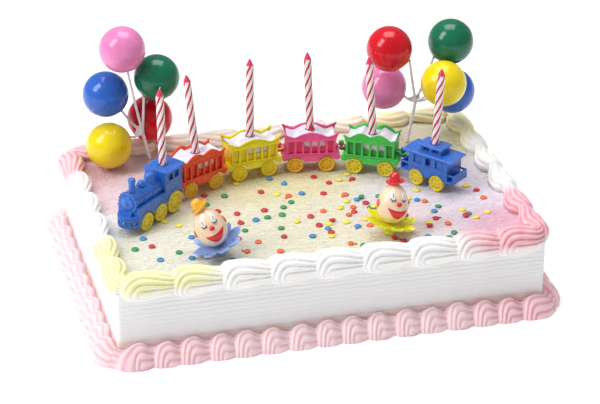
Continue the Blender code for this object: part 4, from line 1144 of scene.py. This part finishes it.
# Every vehicle's place on the icing, its heading, its ends along its own x for ring and peg, its
# axles with their wheels' radii, its candle's seat, its candle's lean and its colours
TRAIN = (
    {"name": "locomotive", "at": (-103.6, 4.7), "heading": 222.0, "ring": -15.6, "slot": "blue_plastic",
     "axles": ((0.0, 8.9), (17.7, 7.1), (35.4, 7.1)), "seat": (1.5, 36.4), "lean": (-1.6, -1.0),
     "look": "blue", "wheels": "wheel_olive"},
    {"name": "orange_wagon", "at": (-73.2, 31.3), "heading": 26.2, "ring": 24.6, "peg": -24.6,
     "top": DOUBLE_TOP,
     "slot": "orange_plastic", "lean": (-6.2, 1.6), "look": "orange", "wheels": "wheel_gold"},
    {"name": "yellow_wagon", "at": (-26.1, 46.9), "heading": 8.1, "ring": 24.6, "peg": -24.6,
     "top": SINGLE_TOP,
     "slot": "yellow_plastic", "lean": (0.0, 0.0), "look": "yellow", "wheels": "wheel_yellow"},
    {"name": "pink_wagon", "at": (22.7, 47.3), "heading": -9.6, "ring": 24.6, "peg": -24.6,
     "top": SINGLE_TOP,
     "slot": "pink_plastic", "lean": (-2.6, 0.7), "look": "pink", "wheels": "wheel_gold"},
    {"name": "green_wagon", "at": (69.1, 29.9), "heading": -27.8, "ring": 24.6, "peg": -24.6,
     "top": DOUBLE_TOP,
     "slot": "green_plastic", "lean": (-4.0, 1.0), "look": "green", "wheels": "wheel_olive"},
    {"name": "caboose", "at": (108.6, -4.6), "heading": -51.5, "peg": -28.0, "slot": "blue_plastic",
     "axles": ((-9.5, 6.5), (9.5, 6.5)), "seat": (1.3, 33.1), "lean": (3.2, -0.8), "look": "blue",
     "wheels": "wheel_olive"},
)


def vehicle_place(vehicle):
    return shifted(*vehicle["at"], CAKE_HEIGHT + GAP) @ turned(vehicle["heading"], "Z")


def add_train():
    couplings = []
    for ahead, behind in zip(TRAIN, TRAIN[1:]):
        ring = vehicle_place(ahead) @ Vector((ahead["ring"], 0, 0))
        peg = vehicle_place(behind) @ Vector((behind["peg"], 0, 0))
        couplings.append((ring + peg) / 2)
    for number, vehicle in enumerate(TRAIN):
        name, place = vehicle["name"], vehicle_place(vehicle)
        back = place.inverted()
        ring_at = tuple((back @ couplings[number])[:2]) if "ring" in vehicle else None
        peg_at = tuple((back @ couplings[number - 1])[:2]) if "peg" in vehicle else None
        if name == "locomotive":
            shape = locomotive_shape(ring_at)
        elif name == "caboose":
            shape = caboose_shape(peg_at)
        else:
            shape = wagon_shape(vehicle["top"], ring_at, peg_at)
            piece(f"{name}_tray", wagon_roof_shape(vehicle["top"]), [LOOKS["white"], LOOKS["shadow"]],
                  [f"{name}_roof"], place)
        # the second look is the toy colour's darker copy: painted shade for insides, wells and panels
        looks = [LOOKS[vehicle["look"]], LOOKS[f"{vehicle['look']}_dark"]]
        piece(f"{name}_moulding", shape, looks, [f"{name}_body"], place, bevel=0.22)
        axles = vehicle.get("axles", ((-WAGON_AXLE, WHEEL_RADIUS), (WAGON_AXLE, WHEEL_RADIUS)))
        for order, (along, radius) in enumerate(axles, start=1):
            # the wheels' second look is painted shade in their hollows
            wheels = wheelset_shape(radius, 31.0 * order + 17.0 * number)
            piece(f"{name}_wheelset_{order}", wheels,
                  [LOOKS[vehicle["wheels"]], LOOKS[f"{vehicle['wheels']}_dark"]],
                  [f"{name}_wheels_{order}"], place @ shifted(along, 0, radius))
        seat = vehicle.get("seat") or (0.0, vehicle["top"][0][1] - 1.5 + 2 * GAP)
        candle = add_candle(number + 1, place @ Vector((seat[0], 0, seat[1])), vehicle["lean"])
        if name == "pink_wagon":
            drip = Shape().add(lathe([(0, 0.2), (2.2, 0.5), (2.0, 1.6), (1.2, 3.6), (0.6, 6.0), (0, 7.4)],
                                     20))
            lean_place = shifted(*(candle.translation + Vector((0.6, -3.0,
                                                                0.3)))) @ turned(12, "X") @ turned(-6, "Y")
            piece("candle_drip", drip, [LOOKS["drip"]], (), lean_place)


# ---------------------------------------------------------------- balloons

BALLOON_RADIUS = 18.3
BALLOON_PICKS = {
    "left": {
        "foot": (-97.8, 90.9), "hub": (-103.7, 88.3, 85.7),
        "balloons": {
            "pink": ((-117.8, 90.0, 158.5), None, (8, 4)),
            "green": ((-90.2, 94.0, 130.0), (-101.5, 89.6, 116.4), (48, 12)),
            "blue": ((-130.4, 99.5, 117.2), None, (-40, 8)), "red": ((-93.9, 107.4, 88.6), None, (60, 0)),
            "yellow": ((-131.8, 83.3, 80.1), None, (-70, 12)),
        },
    },
    "right": {
        "foot": (110.7, 71.6), "hub": (116.5, 70.0, 96.5),
        "balloons": {
            "red": ((92.5, 67.1, 146.4), (106.9, 59.0, 138.4), (30, 8)),
            "pink": ((95.0, 87.1, 104.2), None, (-60, 5)),
            "green": ((144.7, 71.0, 145.7), (130.5, 68.8, 134.6), (-35, 10)),
            "yellow": ((131.5, 45.6, 121.5), None, (74, 6)), "blue": ((149.6, 76.8, 99.2), None, (50, 5)),
        },
    },
}


def add_balloons():
    for side, pick in BALLOON_PICKS.items():
        foot, hub = Vector((*pick["foot"], CAKE_HEIGHT + GAP)), Vector(pick["hub"])
        shape = Shape().add(tube(smooth_curve([foot, foot.lerp(hub, 0.5), hub], 6), 1.35, 14))
        shape.add(ball(foot + Vector((0, 0, 0.6)), (1.7, 1.7, 0.9), 16, 8))
        starts = []
        for tint, (centre, meets, seam) in pick["balloons"].items():
            centre = Vector(centre)
            towards = ((Vector(meets) if meets else hub) - centre).normalized()
            end = centre + towards * (BALLOON_RADIUS + GAP)
            bend = hub.lerp(end, 0.55) + Vector((0, 0, -1.2))
            route = smooth_curve([hub, bend, end], 8)
            shape.add(tube(route, [1.15 - 0.25 * k / (len(route) - 1) for k in range(len(route))], 12))
            starts.append(hub + (end - hub).normalized() * 8.0)
            bubble = Shape().add(ball(centre, (BALLOON_RADIUS,) * 3, 64, 36))
            bubble.add(lathe([(0, 0), (1.5, 0.1), (1.7, 0.8), (1.4, 1.8), (0, 1.9)], 16),
                       matrix=Matrix.Translation(end) @ (-towards).to_track_quat("Z",
                                                                                 "Y").to_matrix().to_4x4())
            lie = Matrix.Translation(centre) @ turned(seam[0], "Y") @ turned(seam[1], "X")
            bubble.add(tube([lie @ p for p in ring_path((0, 0, 0), BALLOON_RADIUS + 0.02, steps=96)], 0.16,
                            6, closed=True))
            node = f"{side}_balloon_{tint}"
            piece(f"{node}_ball", bubble, [LOOKS[f"balloon_{tint}"]], [node], smooth=50)
        starts.sort(key=lambda p: math.atan2(p.x - hub.x, p.z - hub.z))
        for a, b in zip(starts, starts[1:]):
            root = hub + Vector((0, 0, -1.5))
            low, high = ([p + Vector((0, shift, 0)) for p in (root, root.lerp(a, 0.85), root.lerp(b, 0.85))]
                         for shift in (-0.45, 0.45))
            shape.add(loft([low, high]))
        node = f"{side}_balloon_stem"
        piece(f"{node}_tree", shape, [LOOKS["stem"]], [node], smooth=60)


# ---------------------------------------------------------------- clowns

HEAD = ((0.0, 0.0), (3.6, 0.35), (6.6, 1.6), (10.8, 5.6), (12.5, 12.0), (12.0, 19.0), (9.9, 25.0),
        (6.0, 30.0),
        (3.0, 32.0), (0.0, 32.6))
HEAD_SCALE = Matrix.Scale(0.94, 4)
COLLAR_RADIUS, PETALS = 19.5, 8


def head_profile():
    return [(max(0.0, r), z) for r, z, _ in smooth_curve([(r, z, 0) for r, z in HEAD], 5)]


def face_depth(profile, x, z):
    """How far in front of the head's axis its skin lies at (x, z)."""
    radius = np.interp(z, [p[1] for p in profile], [p[0] for p in profile])
    return math.sqrt(max(0.0, radius ** 2 - x ** 2))


def on_face(part, profile, lift=0.0):
    """A flat part in (x, thickness, z) wrapped on to the front of the head, thickness outwards."""
    points, faces = part
    return [(x, -(face_depth(profile, x, z) + y + lift), z) for x, y, z in points], faces


def crescent(left, right, sag_top, sag_low, thick, steps=22):
    """A smile between two corners: its upper and lower edges sag by different amounts."""
    rings = []
    for k in range(steps + 1):
        t = k / steps
        arch = math.sin(math.pi * t) ** 0.8
        x = left[0] + (right[0] - left[0]) * t
        level = left[1] + (right[1] - left[1]) * t
        high, low = level - sag_top * math.sin(math.pi * t), level - sag_low * arch - 0.12
        middle, reach = (high + low) / 2, max(0.08, (high - low) / 2)
        rings.append([(x, thick * math.cos(a) * min(1.0, 0.25 + arch), middle + reach * math.sin(a))
                      for a in (2 * math.pi * j / 16 for j in range(16))])
    return loft(rings)


def collar_shape():
    """A bulb foot under a ruff of eight petals with fluted, curling edges."""
    sides = 128
    foot = [(0.0, 0.0), (2.6, 0.1), (4.2, 1.0), (4.9, 2.6), (4.7, 4.2), (4.1, 5.4), (5.6, 6.0), (9.0, 6.5),
            (13.5, 7.9), (17.4, 9.8), (COLLAR_RADIUS - 0.5, 11.2), (COLLAR_RADIUS + 0.1, 11.9),
            (COLLAR_RADIUS - 0.7, 12.0),
            (16.8, 10.7), (13.0, 8.9), (9.0, 7.6), (5.0, 7.7), (0.0, 7.8)]

    rings = foot[1:-1]

    def petals(share, angle):
        index = round(share * (len(rings) - 1))
        radius = rings[index][0]
        if radius < 5.5:
            return 0.0, 0.0
        reach = ((radius - 5.5) / (COLLAR_RADIUS - 5.5)) ** 1.5
        swing = abs(math.cos(PETALS / 2 * angle))
        flute = math.cos(3 * PETALS * angle)
        edge = (swing ** 0.8 - 0.93) * 8.0
        curl = 0.9 * math.cos(PETALS * angle) + 0.35 * flute + 0.8 * math.sin(3 * angle + 0.7)
        return reach * edge, reach * curl

    return Shape().add(lathe(foot, sides, petals))


def clown_head_shape():
    """An egg-shaped head."""
    profile = head_profile()
    return Shape().add(lathe(profile, 64), matrix=HEAD_SCALE)


CLOWNS = (
    {"name": "clown_1", "at": (-76.3, -77.2), "lean": -23.0, "turn": 4.0, "collar": "collar_blue",
     "hat": "hat_yellow", "hat_tip": -18.0, "smile": ((-7.4, 12.4), (9.0, 14.2))},
    {"name": "clown_2", "at": (50.6, -77.2), "lean": 12.0, "turn": 4.0, "collar": "collar_yellow",
     "hat": "hat_red", "hat_tip": -12.0, "smile": ((-8.2, 14.0), (8.6, 13.0))},
)


def add_face(clown, head):
    name = clown["name"]
    profile = head_profile()

    def feature(label, shape, look, smooth=60):
        part = Shape().add((shape.points, shape.faces), matrix=HEAD_SCALE)
        piece(f"{name}_{label}", part, [LOOKS[look]], (), head, smooth)

    nose = Shape().add(ball((0, -12.9, 17.2), (2.2, 1.8, 1.9), 28, 16))
    feature("nose", nose, "paint_red")
    smile = Shape().add(on_face(crescent(*clown["smile"], 1.7, 8.4, 0.6), profile, 0.12))
    feature("smile", smile, "paint_red")
    whites, pupils, lashes = Shape(), Shape(), Shape()
    for side in (-1, 1):
        x = side * 4.7
        whites.add(on_face(ball((x, 0, 23.2), (1.75, 0.5, 4.1), 28, 16), profile))
        pupils.add(on_face(ball((x + 0.1 * side, 0, 23.7), (0.42, 0.72, 2.5), 16, 14), profile))
        lash = [(x - 2.0, 0.45, 21.1), (x - 1.0, 0.55, 20.2), (x, 0.55, 19.9), (x + 1.0, 0.55, 20.2),
                (x + 2.0, 0.45, 21.1)]
        lashes.add(on_face(tube(smooth_curve(lash, 5), 0.34, 8), profile))
        for shift in (-0.8, 0.8):
            stub = [(x + shift, 0.5, 20.2), (x + 1.3 * shift, 0.5, 19.1)]
            lashes.add(on_face(tube(stub, 0.24, 8), profile))
    feature("eyes", whites, "paint_white")
    feature("pupils", pupils, "paint_crimson")
    feature("lashes", lashes, "paint_black")
    ears = Shape()
    for side in (-1, 1):
        ears.add(ball((side * 12.2, 0.6, 15.6), (1.4, 2.4, 3.6), 24, 16))
        ears.add(ball((side * 12.9, -0.4, 15.4), (0.9, 1.2, 2.2), 18, 12))
    feature("ears", ears, "ear")


HEAD_TILT, HAT_SEAT, COLLAR_HEIGHT = -16.0, 31.95, 8.0


def add_clowns():
    hat = [(0.0, 0.5), (3.6, 0.3), (6.3, -0.7), (7.0, -0.7), (7.35, 0.0), (7.2, 0.8), (6.5, 1.0),
           (5.4, 0.7), (4.5, 1.0),
           (4.35, 2.2), (4.2, 3.9), (3.6, 5.6), (2.3, 6.8), (1.0, 7.2), (0.0, 7.3)]
    for clown in CLOWNS:
        name = clown["name"]
        place = shifted(*clown["at"], CAKE_HEIGHT + 3 * GAP) @ turned(clown["lean"],
                                                                      "Y") @ turned(clown["turn"], "Z")
        piece(f"{name}_ruff", collar_shape(), [LOOKS[clown["collar"]]], [f"{name}_collar"],
              place,
              smooth=70)
        head = place @ shifted(0, 0, COLLAR_HEIGHT + 3 * GAP) @ turned(HEAD_TILT, "X")
        piece(f"{name}_face", clown_head_shape(), [LOOKS["skin"]], [f"{name}_head"], head,
              smooth=70)
        add_face(clown, head)
        hat_place = head @ shifted(0, 0, HAT_SEAT) @ turned(clown["hat_tip"], "Y")
        bowler = Shape().add(lathe(hat, 48))
        bowler.add(tube(ring_path((0, 0, 1.35), 4.45, steps=40), 0.28, 8, closed=True))
        piece(f"{name}_bowler", bowler, [LOOKS[clown["hat"]]], [f"{name}_hat"], hat_place,
              smooth=60)


# ---------------------------------------------------------------- sprinkles

def blocked(x, y):
    """True where a toy stands on the icing."""
    for vehicle in TRAIN:
        along, across, _ = vehicle_place(vehicle).inverted() @ Vector((x, y, CAKE_HEIGHT))
        reach = (-14, 56) if vehicle["name"] == "locomotive" else (-25, 25)
        if reach[0] < along < reach[1] and abs(across) < 12.5:
            return True
    for clown in CLOWNS:
        if math.hypot(x - clown["at"][0], y - clown["at"][1]) < 8:
            return True
    return any(math.hypot(x - p["foot"][0], y - p["foot"][1]) < 5 for p in BALLOON_PICKS.values())


def quin(radius, height):
    return lathe([(0, 0), (radius * 0.86, 0), (radius, height * 0.3), (radius, height * 0.7),
                  (radius * 0.86, height),
                  (0, height)], 24)


SPRINKLES, SPRINKLE_HEIGHT, SPRINKLE_SEED = 118, 1.3, 23


def add_sprinkles():
    """Round flat sugar quins strewn over the top, thickest right of its middle and at its front left."""
    chance = random.Random(SPRINKLE_SEED)
    colours = ("red", "orange", "yellow", "green", "blue")
    heaps = {tint: Shape() for tint in colours}
    laid = []
    while len(laid) < SPRINKLES:
        x, y = chance.uniform(-146, 146), chance.uniform(-94, 92)
        weight = 0.12 + 0.88 * math.exp(-((x - 38) / 80) ** 2 - ((y + 32) / 55) ** 2)
        weight += 0.8 * math.exp(-((x + 112) / 24) ** 2 - ((y + 62) / 30) ** 2)
        if y > 45:
            weight *= 0.4
        if chance.random() > weight or blocked(x, y):
            continue
        if any(math.hypot(x - a, y - b) < 6.2 for a, b in laid) and chance.random() > 0.12:
            continue
        near = any(math.hypot(x - a, y - b) < 5.4 for a, b in laid)
        laid.append((x, y))
        tint = chance.choices(colours, (5, 3, 4, 4, 4))[0]
        radius = chance.uniform(2.4, 2.8)
        tip = chance.uniform(-16, 16) if near else chance.uniform(-6, 6)
        place = shifted(x, y, CAKE_HEIGHT - 0.25 + (0.9 if near else 0)) @ turned(chance.uniform(0, 360),
                                                                                  "Z") @ turned(tip, "X")
        heaps[tint].add(quin(radius, SPRINKLE_HEIGHT), matrix=place)
        if chance.random() < 0.1:
            chip = place @ shifted(3.6, 1.2, 0)
            heaps[tint].add(quin(0.9, 0.8), matrix=chip)
    for tint, heap in heaps.items():
        piece(f"sprinkles_{tint}", heap, [LOOKS[f"quin_{tint}"]], (), smooth=50)


# ---------------------------------------------------------------- camera, light and floor

def add_camera():
    data = bpy.data.cameras.new("camera")
    data.lens, data.sensor_width = 147.8, 36.0
    data.clip_start, data.clip_end = 0.05, 20
    camera = bpy.data.objects.new("camera", data)
    bpy.context.scene.collection.objects.link(camera)
    yaw, pitch, roll = math.radians(14.798), math.radians(27.467), math.radians(0.337)
    ahead = Vector((math.sin(yaw) * math.cos(pitch), math.cos(yaw) * math.cos(pitch), -math.sin(pitch)))
    right = Vector((math.cos(yaw), -math.sin(yaw), 0))
    up = right.cross(ahead)
    right, up = math.cos(roll) * right + math.sin(roll) * up, math.cos(roll) * up - math.sin(roll) * right
    turn = Matrix((right, up, -ahead)).transposed().to_4x4()
    camera.matrix_world = Matrix.Translation((-0.43174, -1.64325, 0.93834)) @ turn
    bpy.context.scene.camera = camera


def area_light(name, place, target, size, power):
    data = bpy.data.lights.new(name, "AREA")
    data.shape = "RECTANGLE"
    data.size, data.size_y = size
    data.energy = power
    lamp = bpy.data.objects.new(name, data)
    bpy.context.scene.collection.objects.link(lamp)
    lamp.location = place
    lamp.rotation_mode = "QUATERNION"
    lamp.rotation_quaternion = (Vector(target) - Vector(place)).to_track_quat("-Z", "Y")


# Studio: the reach of the floor in metres, its own faint glow, the sky's strength, and the two
# soft lights with their places, sizes in metres and watts
FLOOR_REACH, FLOOR_GLOW, SKY_STRENGTH = 6, 0.22, 0.34
LIT_POINT = (0, 0, 0.05)
LIGHTS = (
    ("key", (-1.45, -0.25, 1.5), (0.7, 1.4), 27),
    ("overhead", (0.1, 0.35, 1.5), (1.0, 0.8), 13),
)


def add_stage():
    mesh = bpy.data.meshes.new("floor")
    corners = [(x * FLOOR_REACH, y * FLOOR_REACH, 0) for x, y in ((-1, -1), (1, -1), (1, 1), (-1, 1))]
    mesh.from_pydata(corners, [], [(0, 1, 2, 3)])
    floor = bpy.data.objects.new("floor", mesh)
    graph = Graph("floor", Roughness=0.9, Emission_Color=(1, 1, 1, 1), Emission_Strength=FLOOR_GLOW)
    mesh.materials.append(graph.finish(graph.mix(graph.noise(3.0), (252, 252, 253), (255, 255, 255))))
    bpy.context.scene.collection.objects.link(floor)
    world = bpy.data.worlds.new("studio")
    world.use_nodes = True
    sky = world.node_tree.nodes["Background"].inputs
    sky["Color"].default_value = (1, 1, 1, 1)
    sky["Strength"].default_value = SKY_STRENGTH
    bpy.context.scene.world = world
    for name, place, size, power in LIGHTS:
        area_light(name, place, LIT_POINT, size, power)
    bpy.context.scene.view_settings.view_transform = "Standard"


add_cake()
add_train()
add_balloons()
add_clowns()
add_sprinkles()
add_camera()
add_stage()
